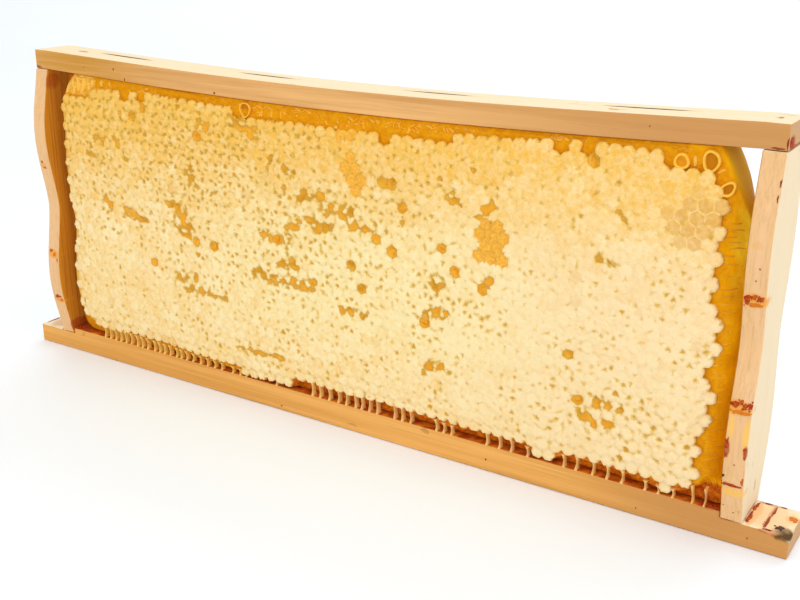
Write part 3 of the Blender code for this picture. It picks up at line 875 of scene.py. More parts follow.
    start = len(places)
    first_ring = start + np.arange(count * 24).reshape(count, 24)
    second = start + count * 24 + np.arange(count * 12).reshape(count, 12)
    third = start + count * 36 + np.arange(count * 6).reshape(count, 6)
    last = start + count * 42 + np.arange(count)
    faces = []
    for c in range(count):
        a, b, d, e = ring[c], first_ring[c], second[c], third[c]
        for k in range(24):
            m = (k + 1) % 24
            faces.append((a[k], a[m], b[m], b[k]))
        for k in range(12):
            m = (k + 1) % 12
            i, j, n = 2 * k, 2 * k + 1, (2 * k + 2) % 24
            faces += [(b[i], b[j], d[k]), (b[j], d[m], d[k]), (b[j], b[n], d[m])]
        for k in range(6):
            m = (k + 1) % 6
            i, j, n = 2 * k + 1, (2 * k + 2) % 12, (2 * k + 3) % 12
            faces += [(d[i], d[j], e[k]), (d[j], e[m], e[k]), (d[j], d[n], e[m]), (e[k], e[m], last[c])]
    if back:
        faces = [face[::-1] for face in faces]
    soup = Soup()
    soup.add(np.concatenate([p.reshape(-1, 3) for p in points]), faces,
             np.concatenate([t.reshape(-1, 4) for t in tones]))
    return soup


def close_sheet(piece, back):
    """Turns the sheet's border down into the comb and closes it underneath."""
    mesh = bmesh.new()
    mesh.from_mesh(piece.data)
    layer = mesh.verts.layers.float_color["wax"]
    sign = -1 if back else 1
    for drop, gap in ((1.2, 0.45), (2.2, 0.6)):
        border = [edge for edge in mesh.edges if edge.is_boundary]
        made = bmesh.ops.extrude_edge_only(mesh, edges=border)["geom"]
        for vertex in made:
            if isinstance(vertex, bmesh.types.BMVert):
                vertex.co.y += sign * drop * MM
                pale, _, thin, gold = vertex[layer]
                vertex[layer] = (pale, gap, thin, gold)
    border = [edge for edge in mesh.edges if edge.is_boundary]
    bmesh.ops.holes_fill(mesh, edges=border, sides=0)
    mesh.to_mesh(piece.data)
    mesh.free()


def rounded(left, right, bottom, top_drop, radii):
    """Anticlockwise outline of the comb with its top under the sagging bar."""
    per_corner, along, up = 9, 230, 80
    top = COMB_HIGH.z - top_drop
    (ax, az), (bx, bz), (cx, cz), (dx, dz) = radii
    points = []

    def straight(x0, z0, x1, z1, count):
        for k in range(count):
            points.append((x0 + (x1 - x0) * k / count, z0 + (z1 - z0) * k / count))

    def bend(mx, mz, rx, rz, start, power=1):
        for k in range(per_corner):
            angle = start + math.pi / 2 * k / per_corner
            u, v = math.cos(angle), math.sin(angle)
            points.append((mx + rx * math.copysign(abs(u) ** power, u),
                           mz + rz * math.copysign(abs(v) ** power, v)))

    straight(left + dx, bottom, right - ax, bottom, along)
    bend(right - ax, bottom + az, ax, az, -math.pi / 2)
    straight(right, bottom + az, right, top - bz, up)
    bend(right - bx, top - bz, bx, bz, 0, SHOULDER[2])
    straight(right - bx, top, left + cx, top, along)
    bend(left + cx, top - cz, cx, cz, math.pi / 2)
    straight(left, top - cz, left, bottom + dz, up)
    bend(left + dx, bottom + dz, dx, dz, math.pi)
    made = np.array(points)
    middle = (COMB_LOW.z + COMB_HIGH.z) / 2
    share = np.clip((made[:, 1] - middle) / (COMB_HIGH.z - middle), 0, 1)
    made[:, 1] -= SAG * np.cos(np.pi / 2 * np.clip(made[:, 0] / INNER_X, -1, 1)) * share
    return made


CORE_CORNERS = ((3, 3), SHOULDER[:2], (5.5, 13), (9, 8))
INSETS = (0.0, 0.5, 1.0, 1.6, 2.3, 3.0, 3.8, 4.6, 5.4, 6.2, 7.0, 7.8, 8.6, 9.6, 11, 13, 16, 21, 30, 42, 56)


def core():
    """The comb's body between its faces: honey-filled cells under the caps and at the flanks."""
    rings = []
    for inset in INSETS:
        radii = tuple((max(rx - inset, 0.8), max(rz - inset, 0.8)) for rx, rz in CORE_CORNERS)
        rings.append(rounded(COMB_LOW.x + 0.2 + inset, CORE_RIGHT - inset,
                             COMB_LOW.z + 0.15 + inset, inset - 0.28, radii))
    soup = Soup()
    layers = []
    for back in (False, True):
        side = []
        for outline in rings:
            x, z = outline[:, 0], outline[:, 1]
            side.append((x, z, core_out(x, z)))
        layers.append(side[::-1] if not back else side)
    front, rear = layers
    ordered = [(x, -out, z) for x, z, out in front]
    x, z, out = front[-1]
    for share in (0.66, 0.33, 0, -0.33, -0.66):
        bulge = 0.35 * (1 - share * share) * np.sign(x) * (np.abs(x) > 150) * (z > 20)
        ordered.append((x + bulge, -out * share, z))
    ordered += [(x, out, z) for x, z, out in rear]
    count = len(x)
    points, tones = [], []
    for x, y, z in ordered:
        points.append(np.stack([x, y, z], -1))
        depth = inside_by(x, z, CAP_EDGE)
        beyond = np.clip(-depth / 1.5, 0, 1)
        leftish = np.clip((-x - 150) / 12, 0, 1)
        pale = leftish * np.clip(1 - (-depth) / 4, 0, 1) * (z < 136) * 0.85
        pale = np.maximum(pale, (0.45 + 0.5 * wavy(x, z, 5, 8)) * (x < -145) * (x > -166) * (z > 139))
        reddish = np.where(x < -58, 0.25, np.where(x > 158, 1.0, 0.9))
        red_pocket_and_shade = (z < 20) * np.clip((3.2 - depth) / 1.2, 0, 1) * reddish
        # Painted shade: the same dark red on the comb's left side at the upper left corner, where it stands in shade.
        red_pocket_and_shade = np.maximum(red_pocket_and_shade, 0.7 * (x < -158) * (z > 137) * beyond)
        # Golden honey on the right flank, partly its own colour and partly painted light: brighter, to stand in for
        # light shining through the honey in the side bar's shade.
        gold = np.maximum(0.0, (0.7 + 0.3 * wavy(x, z, 23, 6)) * (x > 150) * (z > 20) * beyond)
        # Painted light: the comb's side at the upper right is painted bright gold, as if lit through the honey.
        lit_side = np.clip((7.5 - np.abs(y)) / 2, 0, 1) * (x > 150) * np.clip((z - 90) / 20, 0, 1)
        tones.append(np.stack([pale, red_pocket_and_shade, gold, 1 - 0.9 * lit_side], -1))
    faces = [tuple(range(count))[::-1]]
    for r in range(len(ordered) - 1):
        for k in range(count):
            m = (k + 1) % count
            faces.append((r * count + k, r * count + m, (r + 1) * count + m, (r + 1) * count + k))
    last = (len(ordered) - 1) * count
    faces.append(tuple(range(last, last + count)))
    faces = [face[::-1] for face in faces]
    soup.add(np.concatenate(points), faces, np.concatenate(tones))
    return soup


def ridge(soup, path, width, rise, back, paint, sunk=0.5):
    """A low ridge of wax along a path of x, z points, tapered at both ends."""
    path = np.asarray(path, float)
    steps = len(path)
    out = core_out(path[:, 0], path[:, 1])
    along = np.gradient(path, axis=0)
    along /= np.maximum(np.linalg.norm(along, axis=1, keepdims=True), 1e-6)
    across = np.stack([-along[:, 1], along[:, 0]], -1)
    taper = np.sin(np.pi * (np.arange(steps) + 0.6) / (steps + 0.2)) ** 0.5
    points = []
    for side, up in ((1, -sunk), (0.75, 0.35), (0, 1), (-0.75, 0.35), (-1, -sunk)):
        at = path + across * (side * width / 2 * taper)[:, None]
        height = out + np.where(up > 0, up * rise * taper, up)
        points.append(place_out(at[:, 0], at[:, 1], height, back))
    points = np.stack(points, 1).reshape(-1, 3)
    faces = []
    for k in range(steps - 1):
        for t in range(5):
            m = (t + 1) % 5
            faces.append((k * 5 + t, k * 5 + m, k * 5 + 5 + m, k * 5 + 5 + t))
    faces += [(4, 3, 2, 1, 0), tuple((steps - 1) * 5 + t for t in range(5))]
    if not back:
        faces = [face[::-1] for face in faces]
    soup.add(points, faces, paint)


def bowed(start, end, bow, steps=5):
    """Points from start to end on a slight curve."""
    start, end = np.asarray(start, float), np.asarray(end, float)
    share = np.linspace(0, 1, steps)[:, None]
    side = np.array([-(end - start)[1], (end - start)[0]])
    return start + (end - start) * share + side * bow * 4 * share * (1 - share)


def cell_walls(lattice, soup):
    """Wax walls round the cells that have no cap: along the top and at the upper right flank."""
    rng, back = lattice.rng, lattice.back
    bare = lattice.in_comb & ~lattice.capped
    rows, columns = np.nonzero(bare)
    for j, i in zip(rows, columns):
        odd = j % 2
        neighbours = [(j, i + 1), (j + 1, i + 1) if odd else (j + 1, i), (j + 1, i) if odd else (j + 1, i - 1)]
        for k, (nj, ni) in enumerate(neighbours):
            if nj >= ROWS or ni >= bare.shape[1]:
                continue
            if lattice.capped[nj, ni] or rng.random() < 0.12:
                continue
            a, b = lattice.corners[j, i, k - 1], lattice.corners[j, i, k]
            xs, zs = np.array([a[0], b[0]]), np.array([a[1], b[1]])
            if zs.min() < COMB_LOW.z + 4 or (zs > ceiling(xs) - 0.2).any():
                continue
            if xs.min() < COMB_LOW.x + 2 or (xs > right_limit(zs) - 1.5).any():
                continue
            middle_x, middle_z = xs.mean(), zs.mean()
            corner_cells = middle_x > 146 and middle_z > 112
            if not (corner_cells or middle_z > 134):
                continue
            if not back and any(math.hypot((middle_x - cx) / (rx + 1), (middle_z - cz) / (rz + 1)) < 1
                                for cx, cz, rx, rz, _ in RIMMED_CELLS):
                continue
            if core_out(xs, zs).min() < 7.4:
                continue
            golden = middle_x < -138 or middle_x > 146
            pale = rng.uniform(0.1, 0.5) if golden else rng.uniform(0.0, 0.25)
            if rng.random() < (0.1 if golden else 0.5):
                continue
            path = bowed(a, b, rng.normal(0, 0.06)) + rng.normal(0, 0.08, (5, 2))
            wide = rng.uniform(1.1, 1.8) if golden else rng.uniform(0.8, 1.4)
            ridge(soup, path, wide, rng.uniform(0.4, 0.9), back, (pale, 0, 0, 1))


def foot_walls(soup, back):
    """Thin walls that run from the lower edge of the caps down to the lower bar."""
    rng = np.random.default_rng(5 + back)
    places = [-x + 1.3 for x in FOOT_WALLS] if back else list(FOOT_WALLS)
    if not back:
        places += [x + rng.uniform(-0.5, 0.5) for x in np.arange(-152, -101, 3.9)]
    floor = BAR["lug_bar"][1].z / MM - 0.05
    for x in places:
        edge = probe_edge(x)
        if edge - floor < 1.0 or abs(x) > 170.5:
            continue
        top = min(edge + 1.6, 19.5 if abs(x) > 160 else 99)
        lean = rng.normal(0, 0.25)
        sections, steps = [], 7
        for k in range(steps):
            share = k / (steps - 1)
            z = floor - 0.1 + (top - floor) * share
            flare = 0.36 + abs(2 * share - 1) ** 2.4 * (1.5 if share > 0.5 else 0.9)
            width = flare * rng.uniform(0.9, 1.1)
            width *= 0.6 if x > 160 else 1
            shift = lean * (1 - share) + 0.12 * math.sin(share * 5 + x)
            front = 11.0 + 0.4 * share - 0.5 * math.sin(math.pi * share)
            sections.append((x + shift, z, width, front, 7.8))
        dull = x < -58 and not back
        points = []
        for sx, z, width, front, rear in sections:
            for dx, out in ((-width / 2, rear), (-width / 2, front - 0.25), (0, front),
                            (width / 2, front - 0.25), (width / 2, rear)):
                points.append((sx + dx, out if back else -out, z))
        faces = []
        for r in range(steps - 1):
            for k in range(5):
                m = (k + 1) % 5
                faces.append((r * 5 + k, r * 5 + m, r * 5 + 5 + m, r * 5 + 5 + k))
        faces += [(4, 3, 2, 1, 0), tuple((steps - 1) * 5 + k for k in range(5))]
        if back:
            faces = [face[::-1] for face in faces]
        tone = (0.55, 0.1, 0, 1) if dull else (0.85, rng.uniform(0.4, 0.8), 0, 1)
        soup.add(points, faces, tone)


def probe_edge(x):
    """Lower edge of the capped area at x."""
    levels = np.arange(12, 24, 0.25)
    depth = inside_by(np.full(levels.shape, x), levels, CAP_EDGE)
    inside = np.nonzero(depth > 0)[0]
    return levels[inside[0]] if len(inside) else 24


def flank_walls(soup, side, back):
    """Edges of the cells cut open along the comb's left and right flanks."""
    rng = np.random.default_rng(61 + side + back)
    z = 19.0
    while z < 139:
        z += rng.uniform(1.9, 2.9)
        if rng.random() < 0.25:
            continue
        reach = rng.uniform(0.4, 1)
        start = INNER_X - 9
        xs = start + (COMB_HIGH.x - 1.2 - start) * np.linspace(0, 1, 8)
        if side < 0:
            xs = -xs + 2.0
        zs = z + rng.uniform(-0.08, 0.08) * np.linspace(0, 8, 8)
        depth = inside_by(xs, zs, CAP_EDGE)
        shown = np.nonzero((depth < 0.6) & (xs < right_limit(zs) - 0.8))[0]
        if len(shown) < 2:
            continue
        shown = shown[: max(2, int(len(shown) * reach))]
        xs, zs = xs[shown], zs[shown]
        path = np.stack([xs, zs + 0.25 * np.sin(xs * 0.9 + z)], -1)
        ridge(soup, path, rng.uniform(0.45, 0.9), rng.uniform(0.2, 0.45), back,
              (0, 0, rng.uniform(0.05, 0.3), 1))


def shreds(soup):
    """Fine slivers of pale wax along the band under the upper bar."""
    rng = np.random.default_rng(77)
    runs = [(-16, 72, 62), (96, 152, 34), (-60, -20, 16), (-140, -70, 16)]
    for low, high, count in runs:
        for _ in range(count):
            x = rng.uniform(low, high)
            top = ceiling(x) - 0.7
            bottom = cap_top(x) + 0.3
            if top - bottom < 1.4:
                continue
            z = rng.uniform(bottom + 0.4, top - 0.4)
            angle = rng.choice([rng.uniform(0.4, 1.3), rng.uniform(1.8, 2.7), rng.uniform(-0.2, 0.2)])
            size = rng.uniform(0.8, 2.2)
            dx, dz = math.cos(angle) * size / 2, math.sin(angle) * size / 2
            z = min(z, top - abs(dz))
            path = bowed((x - dx, z - dz), (x + dx, z + dz), rng.normal(0, 0.12))
            ridge(soup, path, rng.uniform(0.4, 0.8), rng.uniform(0.3, 0.7), False,
                  (rng.uniform(0.05, 0.5), 0, 0, 1))


def corner_walls(soup):
    """The broad yellow cell walls at the upper left corner."""
    rng = np.random.default_rng(31)
    for x, low, high in CORNER_WALLS:
        steps = np.linspace(0, 1, 6)
        path = np.stack([x + 0.5 * np.sin(steps * 3 + x), low + (high - low) * steps], -1)
        ridge(soup, path, rng.uniform(2.0, 3.0), rng.uniform(0.8, 1.2), False, (0.35, 0, 0, 1))
        if rng.random() < 0.6:
            across = bowed((x - 2.2, high - 1.2), (x + 2.2, high - 0.6), rng.normal(0, 0.1))
            ridge(soup, across, 1.8, 0.8, False, (0.25, 0, 0, 1))


def cap_top(x):
    """Upper edge of the capped area at x."""
    levels = np.arange(150, 130, -0.25)
    depth = inside_by(np.full(levels.shape, x), levels, CAP_EDGE)
    inside = np.nonzero(depth > 0)[0]
    return levels[inside[0]] if len(inside) else 130


def rims(soup):
    """Rolled wax rims of the larger open cells."""
    around, tube = 26, 7
    for number, (cx, cz, rx, rz, lean) in enumerate(RIMMED_CELLS):
        lean = math.radians(lean)
        thick = 0.5 if number else 0.3
        level = float(core_out(np.array([cx]), np.array([cz]))[0]) + 1.5
        points = []
        for k in range(around):
            angle = 2 * math.pi * k / around
            swell = 1 + 0.06 * math.sin(3 * angle + number)
            for t in range(tube):
                roll = 2 * math.pi * t / tube
                wide = 1 + thick * math.cos(roll) / rx
                u = rx * swell * wide * math.cos(angle)
                v = rz * swell * (1 + thick * math.cos(roll) / rz) * math.sin(angle)
                x = cx + u * math.cos(lean) - v * math.sin(lean)
                z = cz + u * math.sin(lean) + v * math.cos(lean)
                depth = 2.2 if math.sin(roll) < 0 else thick
                points.append((x, -(level + depth * math.sin(roll)), z))
        faces = []
        for k in range(around):
            for t in range(tube):
                a, b = (k + 1) % around, (t + 1) % tube
                faces.append((k * tube + t, a * tube + t, a * tube + b, k * tube + b))
        soup.add(points, [face[::-1] for face in faces], (0.15 if number else 0.1, 0, 0, 1))


def honey_pools(lattices):
    """Honey standing in the open cells, a little hollow in the middle."""
    soup = Soup()

    def pool(outline, level, back, warm):
        centre = outline.mean(0)
        n = len(outline)
        points = []
        for share, rise in ((1.0, 0.25), (0.8, 0.02), (0.45, -0.12)):
            at = centre + (outline - centre) * share
            points.append(place_out(at[:, 0], at[:, 1], np.full(n, level + rise), back))
        points.append(place_out(centre[:1], centre[1:], np.array([level - 0.16]), back))
        points.append(place_out(outline[:, 0], outline[:, 1], np.full(n, level - 1.2), back))
        faces = []
        for k in range(n):
            m = (k + 1) % n
            faces += [(k, m, n + m, n + k), (n + k, n + m, 2 * n + m, 2 * n + k),
                      (2 * n + k, 2 * n + m, 3 * n), (m, k, 3 * n + 1 + k, 3 * n + 1 + m)]
        faces.append(tuple(3 * n + 1 + k for k in range(n))[::-1])
        if back:
            faces = [face[::-1] for face in faces]
        soup.add(np.concatenate(points), faces, (warm, 0, 0, 1))

    for lattice in lattices:
        rng = np.random.default_rng(13 + lattice.back)
        for j, i in zip(*np.nonzero(lattice.opened)):
            angle = np.linspace(0, 2 * np.pi, 14, endpoint=False)
            reach = rng.uniform(1.0, 1.6) + 0.25 * np.cos(2 * angle + rng.uniform(0, 7))
            ring = lattice.centre[j, i] + reach[:, None] * np.stack([np.cos(angle), np.sin(angle)], -1)
            level = float(crown(lattice.depth[j, i])) - 0.62
            pool(ring, level, lattice.back, rng.uniform(0, 0.5))
    for number, (cx, cz, rx, rz, lean) in enumerate(RIMMED_CELLS):
        angle = np.linspace(0, 2 * np.pi, 20, endpoint=False)
        lean = math.radians(lean)
        u, v = rx * np.cos(angle), rz * np.sin(angle)
        ring = np.stack([cx + u * math.cos(lean) - v * math.sin(lean),
                         cz + u * math.sin(lean) + v * math.cos(lean)], -1)
        level = float(core_out(np.array([cx]), np.array([cz]))[0]) + 0.25
        pool(ring, level, False, (0.9, 0.85, 0.8, 0.0)[number])
    return soup


def crumbs(soup, lattices):
    """Small lumps of chewed wax in the uncapped patches."""
    rng = np.random.default_rng(19)
    for lattice in lattices:
        flip = -1 if lattice.back else 1
        for cx, cz, rx, rz in PATCHES:
            for _ in range(int(rx * rz * 0.3)):
                angle, reach = rng.uniform(0, 7), math.sqrt(rng.random())
                x = cx * flip + rx * reach * math.cos(angle)
                z = cz + rz * reach * math.sin(angle)
                size = rng.uniform(0.35, 0.95)
                out = float(crown(inside_by(x, z, CAP_EDGE))) - 0.1
                nugget(soup, rng, x, z, out, size, lattice.back,
                       (rng.uniform(0.05, 0.5), 0, rng.uniform(0, 0.25), 1))


def nugget(soup, rng, x, z, out, size, back, paint):
    """A low lump on the comb's face."""
    n = 7
    points = []
    turn = rng.uniform(0, 7)
    stretch = rng.uniform(0.6, 1.5)
    for share, rise in ((1.0, -0.3), (0.75, 0.35)):
        for k in range(n):
            angle = 2 * math.pi * k / n
            r = size * share * rng.uniform(0.8, 1.2)
            u, v = r * math.cos(angle) * stretch, r * math.sin(angle) / stretch
            points.append((x + u * math.cos(turn) - v * math.sin(turn), out + rise * size,
                           z + u * math.sin(turn) + v * math.cos(turn)))
    points.append((x, out + 0.6 * size, z))
    points.append((x, out - 0.4 * size, z))
    points = np.array(points)
    faces = []
    for k in range(n):
        m = (k + 1) % n
        faces += [(k, m, n + m, n + k), (n + k, n + m, 2 * n), (m, k, 2 * n + 1)]
    if back:
        faces = [face[::-1] for face in faces]
    else:
        points[:, 1] *= -1
    soup.add(points, faces, paint)


# ---------------------------------------------------------------- on the wood

TREES = {}


def surface(node):
    if node not in TREES:
        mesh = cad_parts[node].data
        TREES[node] = BVHTree.FromPolygons([v.co[:] for v in mesh.vertices],
                                           [p.vertices[:] for p in mesh.polygons])
    return TREES[node]


def blob(soup, node, at, facing, wide, tall, lift, tone, seed, lean=0.0):
    """A ragged lump that follows the surface it sits on. Sizes in millimetres."""
    rng = np.random.default_rng(seed)
    facing = Vector(facing).normalized()
    start = Vector(at) * MM + facing * 0.02
    spot, normal, _, _ = surface(node).ray_cast(start, -facing)
    if spot is None:
        spot, normal, _, _ = surface(node).find_nearest(Vector(at) * MM)
    if normal.dot(facing) < 0:
        normal = -normal
    upward = Vector((0, 0, 1)) if abs(normal.z) < 0.8 else Vector((0, 1, 0))
    right = upward.cross(normal).normalized()
    upward = normal.cross(right)
    n = 16
    waves = [rng.uniform(0.06, 0.22) for _ in range(4)]
    phases = [rng.uniform(0, 7) for _ in range(4)]
    points, rings = [], ((1.0, -0.15), (0.93, 0.45), (0.7, 0.85), (0.35, 1.0))
    for share, rise in rings:
        for k in range(n):
            angle = 2 * math.pi * k / n
            r = 1 + sum(w * math.sin((i + 2) * angle + p) for i, (w, p) in enumerate(zip(waves, phases)))
            u, v = wide / 2 * r * share * math.cos(angle), tall / 2 * r * share * math.sin(angle)
            u, v = u * math.cos(lean) - v * math.sin(lean), u * math.sin(lean) + v * math.cos(lean)
            near = surface(node).find_nearest(spot + (right * u + upward * v) * MM)[0]
            bumpy = rise * lift * (1 + 0.25 * rng.normal()) if rise > 0 else -0.08
            points.append((near + normal * bumpy * MM) / MM)
    points.append((spot + normal * lift * MM) / MM)
    points.append((spot - normal * 0.1 * MM) / MM)
    faces, top, bottom = [], len(rings) * n, len(rings) * n + 1
    for k in range(n):
        m = (k + 1) % n
        for r in range(len(rings) - 1):
            faces.append((r * n + k, r * n + m, (r + 1) * n + m, (r + 1) * n + k))
        faces.append((top - n + k, top - n + m, top))
        faces.append((m, k, bottom))
    soup.add([p[:] for p in points], faces, (*tone, 0, 1))


FRONT, UPWARD, OUT_RIGHT = (0, -1, 0), (0, 0, 1), (1, 0, 0)
# node, place, facing, width, height, lift, (orange share, dark share)
BLOBS = [
    ("side_bar_right", (177.3, -20, 98.2), FRONT, 2.6, 3.2, 0.5, (0.0, 0)),
    ("side_bar_right", (179.6, -20, 99.2), FRONT, 2.0, 2.0, 0.45, (0.15, 0)),
    ("side_bar_right", (181.8, -20, 98.9), FRONT, 2.2, 2.4, 0.45, (0.05, 0)),
    ("side_bar_right", (180.2, -20, 96.3), FRONT, 5.8, 1.5, 0.3, (0.6, 0)),
    ("side_bar_right", (177.4, -20, 58.6), FRONT, 3.0, 2.6, 0.55, (0.0, 0)),
    ("side_bar_right", (179.6, -20, 59.6), FRONT, 1.6, 2.2, 0.5, (0.1, 0)),
    ("side_bar_right", (181.2, -20, 58.4), FRONT, 1.8, 2.6, 0.5, (0.05, 0)),
    ("side_bar_right", (183.0, -20, 58.8), FRONT, 1.6, 2.8, 0.5, (0.0, 0)),
    ("side_bar_right", (180.3, -20, 55.9), FRONT, 6.4, 1.6, 0.35, (0.65, 0)),
    ("side_bar_right", (176.5, -20, 43.2), FRONT, 1.4, 4.6, 0.5, (0.0, 0)),
    ("side_bar_right", (176.4, -20, 38.6), FRONT, 1.2, 2.6, 0.4, (0.1, 0)),
    ("side_bar_right", (183.2, -20, 42.0), FRONT, 1.3, 2.4, 0.45, (0.05, 0)),
    ("side_bar_right", (183.3, -20, 39.2), FRONT, 1.0, 2.2, 0.35, (0.2, 0)),
    ("side_bar_right", (179.8, -20, 26.0), FRONT, 7.6, 1.1, 0.4, (0.0, 0)),
    ("side_bar_right", (177.0, -20, 26.2), FRONT, 1.6, 1.6, 0.5, (0.0, 0)),
    ("side_bar_right", (183.2, -20, 28.5), FRONT, 0.9, 4.0, 0.3, (0.4, 0)),
    ("side_bar_right", (176.2, -20, 29.6), FRONT, 0.9, 1.2, 0.5, (0.0, 0.9)),
    ("side_bar_right", (180.6, -20, 13.6), FRONT, 0.5, 0.5, 0.2, (0.0, 0.2)),
    ("side_bar_right", (182.4, -20, 14.6), FRONT, 0.4, 0.5, 0.2, (0.3, 0)),
    ("side_bar_right", (176.8, -20, 16.2), FRONT, 0.5, 0.4, 0.2, (0.0, 0.4)),
    ("side_bar_right", (179.9, -20, 35.2), FRONT, 0.6, 0.6, 0.2, (0.3, 0.3)),
    ("side_bar_right", (180.8, -20, 110), FRONT, 0.8, 0.6, 0.2, (0.5, 0.2)),
    ("side_bar_right", (179.8, -20, 105.5), FRONT, 0.7, 0.5, 0.2, (0.4, 0.2)),
    ("side_bar_right", (183.5, -20, 139.5), FRONT, 0.6, 3.0, 0.2, (0.0, 0.35)),
    ("side_bar_right", (183.3, -20, 134.5), FRONT, 0.6, 2.6, 0.2, (0.0, 0.35)),
    ("side_bar_left", (-181.6, -20, 103.2), FRONT, 1.3, 1.3, 0.35, (0.2, 0.1)),
    ("side_bar_left", (-180.4, -20, 100.2), FRONT, 2.2, 1.1, 0.35, (0.5, 0)),
    ("side_bar_left", (-181.6, -20, 56.0), FRONT, 2.4, 1.6, 0.4, (0.35, 0)),
    ("side_bar_left", (-179.2, -20, 54.2), FRONT, 2.2, 2.0, 0.4, (0.6, 0)),
    ("side_bar_left", (-177.2, -20, 51.5), FRONT, 1.2, 2.0, 0.3, (0.7, 0)),
    ("side_bar_left", (-180.4, -20, 30.8), FRONT, 4.2, 1.6, 0.5, (0.0, 0.1)),
    ("side_bar_left", (-178.0, -20, 28.9), FRONT, 2.0, 1.4, 0.4, (0.45, 0)),
    ("lug_bar", (185.0, -4, 20), UPWARD, 1.4, 10, 0.5, (0.05, 0)),
    ("lug_bar", (185.0, 5, 20), UPWARD, 1.2, 8, 0.5, (0.1, 0)),
    ("lug_bar", (191.6, -4, 20), UPWARD, 1.0, 11, 0.35, (0.0, 0.25)),
    ("lug_bar", (192.0, 5, 20), UPWARD, 1.0, 8, 0.3, (0.0, 0.3)),
    ("lug_bar", (199.4, 3, 20), UPWARD, 3.2, 3.6, 0.3, (0.55, 0)),
    ("lug_bar", (193, -9.6, 20), UPWARD, 3.6, 1.0, 0.3, (0.0, 0.3)),
    ("lug_bar", (188.5, 9.6, 20), UPWARD, 2.6, 0.9, 0.3, (0.0, 0.5)),
    ("lug_bar", (194.5, 9.8, 20), UPWARD, 2.0, 0.8, 0.3, (0.0, 0.6)),
    ("lug_bar", (196.8, -6.0, 20), UPWARD, 2.8, 3.4, 0.3, (0.0, 0.95)),
    ("lug_bar", (-185.1, 0, 20), UPWARD, 1.0, 16, 0.4, (0.0, 0.2)),
    ("lug_bar", (-200.6, -3, 20), UPWARD, 0.9, 9, 0.3, (0.0, 0.3)),
    ("lug_bar", (-172, -7.6, 20), UPWARD, 5.5, 2.6, 0.8, (0.0, 0.1)),
    ("lug_bar", (-164, -8.2, 20), UPWARD, 7.5, 1.6, 0.5, (0.1, 0)),
    ("lug_bar", (170.5, -8.0, 20), UPWARD, 6.5, 2.6, 0.6, (0.0, 0.1)),
    ("lug_bar", (76, -20, 5.2), FRONT, 0.7, 0.9, 0.2, (0.0, 0.6)),
    ("lug_bar", (-34, -20, 2.2), FRONT, 1.0, 0.7, 0.2, (0.0, 0.5)),
    ("lug_bar", (143, -20, 3.2), FRONT, 0.6, 0.6, 0.2, (0.0, 0.7)),
    ("lug_bar", (186.5, -20, 4.0), FRONT, 0.8, 0.8, 0.2, (0.2, 0.2)),
    ("upper_bar", (-129.5, -20, 153.2), FRONT, 0.8, 1.0, 0.2, (0.0, 0.7)),
    ("upper_bar", (-122.4, -20, 148.9), FRONT, 0.6, 1.3, 0.2, (0.0, 0.4)),
    ("upper_bar", (-66.5, -20, 147.4), FRONT, 1.0, 0.9, 0.2, (0.0, 0.6)),
    ("upper_bar", (-150, -20, 152.5), FRONT, 0.6, 0.5, 0.15, (0.4, 0.2)),
    ("upper_bar", (136, -20, 153.4), FRONT, 0.5, 0.6, 0.15, (0.0, 0.6)),
    ("upper_bar", (190, -8.4, 152.3), OUT_RIGHT, 2.6, 4.2, 0.5, (0.0, 0.05)),
    ("upper_bar", (190, -7.0, 150.8), OUT_RIGHT, 3.6, 1.4, 0.4, (0.1, 0.3)),
    ("upper_bar", (190, -3.4, 150.6), OUT_RIGHT, 3.4, 1.0, 0.35, (0.35, 0.1)),
    ("upper_bar", (180.6, -20, 150.5), FRONT, 4.2, 0.7, 0.3, (0.0, 0.4)),
    ("upper_bar", (183.6, -20, 152.4), FRONT, 0.8, 3.6, 0.25, (0.0, 0.4)),
    ("upper_bar", (-182.0, -20, 150.4), FRONT, 2.6, 0.7, 0.3, (0.1, 0.3)),
    ("upper_bar", (120, -5.2, 170), UPWARD, 4.2, 0.6, 0.2, (0.8, 0)),
]


def smudges():
    """Propolis, brown specks and nail heads on the wood."""
    soup = Soup()
    for number, (node, at, facing, wide, tall, lift, tone) in enumerate(BLOBS):
        blob(soup, node, at, facing, wide, tall, lift, tone, 300 + number)
        if number < 8 or wide * tall > 8:
            rng = np.random.default_rng(900 + number)
            for extra in range(3):
                beside = Vector(at)
                step = rng.normal(0, 1, 2)
                beside.x += step[0] * wide * 0.45
                if facing == FRONT:
                    beside.z += step[1] * tall * 0.5
                elif facing == UPWARD:
                    beside.y += step[1] * tall * 0.4
                blob(soup, node, beside, facing, rng.uniform(0.4, 1.0), rng.uniform(0.4, 1.0),
                     lift * 0.7, tone, 1200 + number * 5 + extra)
    return soup


# ---------------------------------------------------------------- stage

def camera():
    yaw, pitch, roll = (math.radians(angle) for angle in (-32.45, 19.47, 0.30))
    ahead = Vector((math.sin(yaw) * math.cos(pitch), math.cos(yaw) * math.cos(pitch), -math.sin(pitch)))
    level = Vector((math.cos(yaw), -math.sin(yaw), 0))
    upright = level.cross(ahead)
    right = math.cos(roll) * level + math.sin(roll) * upright
    up = math.cos(roll) * upright - math.sin(roll) * level
    made = bpy.data.objects.new("camera", bpy.data.cameras.new("camera"))
    made.data.lens = 48.98
    made.data.sensor_width = 36
    made.data.clip_start = 0.01
    made.matrix_world = Matrix((
        (right.x, up.x, -ahead.x, 0.2666), (right.y, up.y, -ahead.y, -0.3790),
        (right.z, up.z, -ahead.z, 0.2228), (0, 0, 0, 1)))
    bpy.context.scene.collection.objects.link(made)
    bpy.context.scene.camera = made


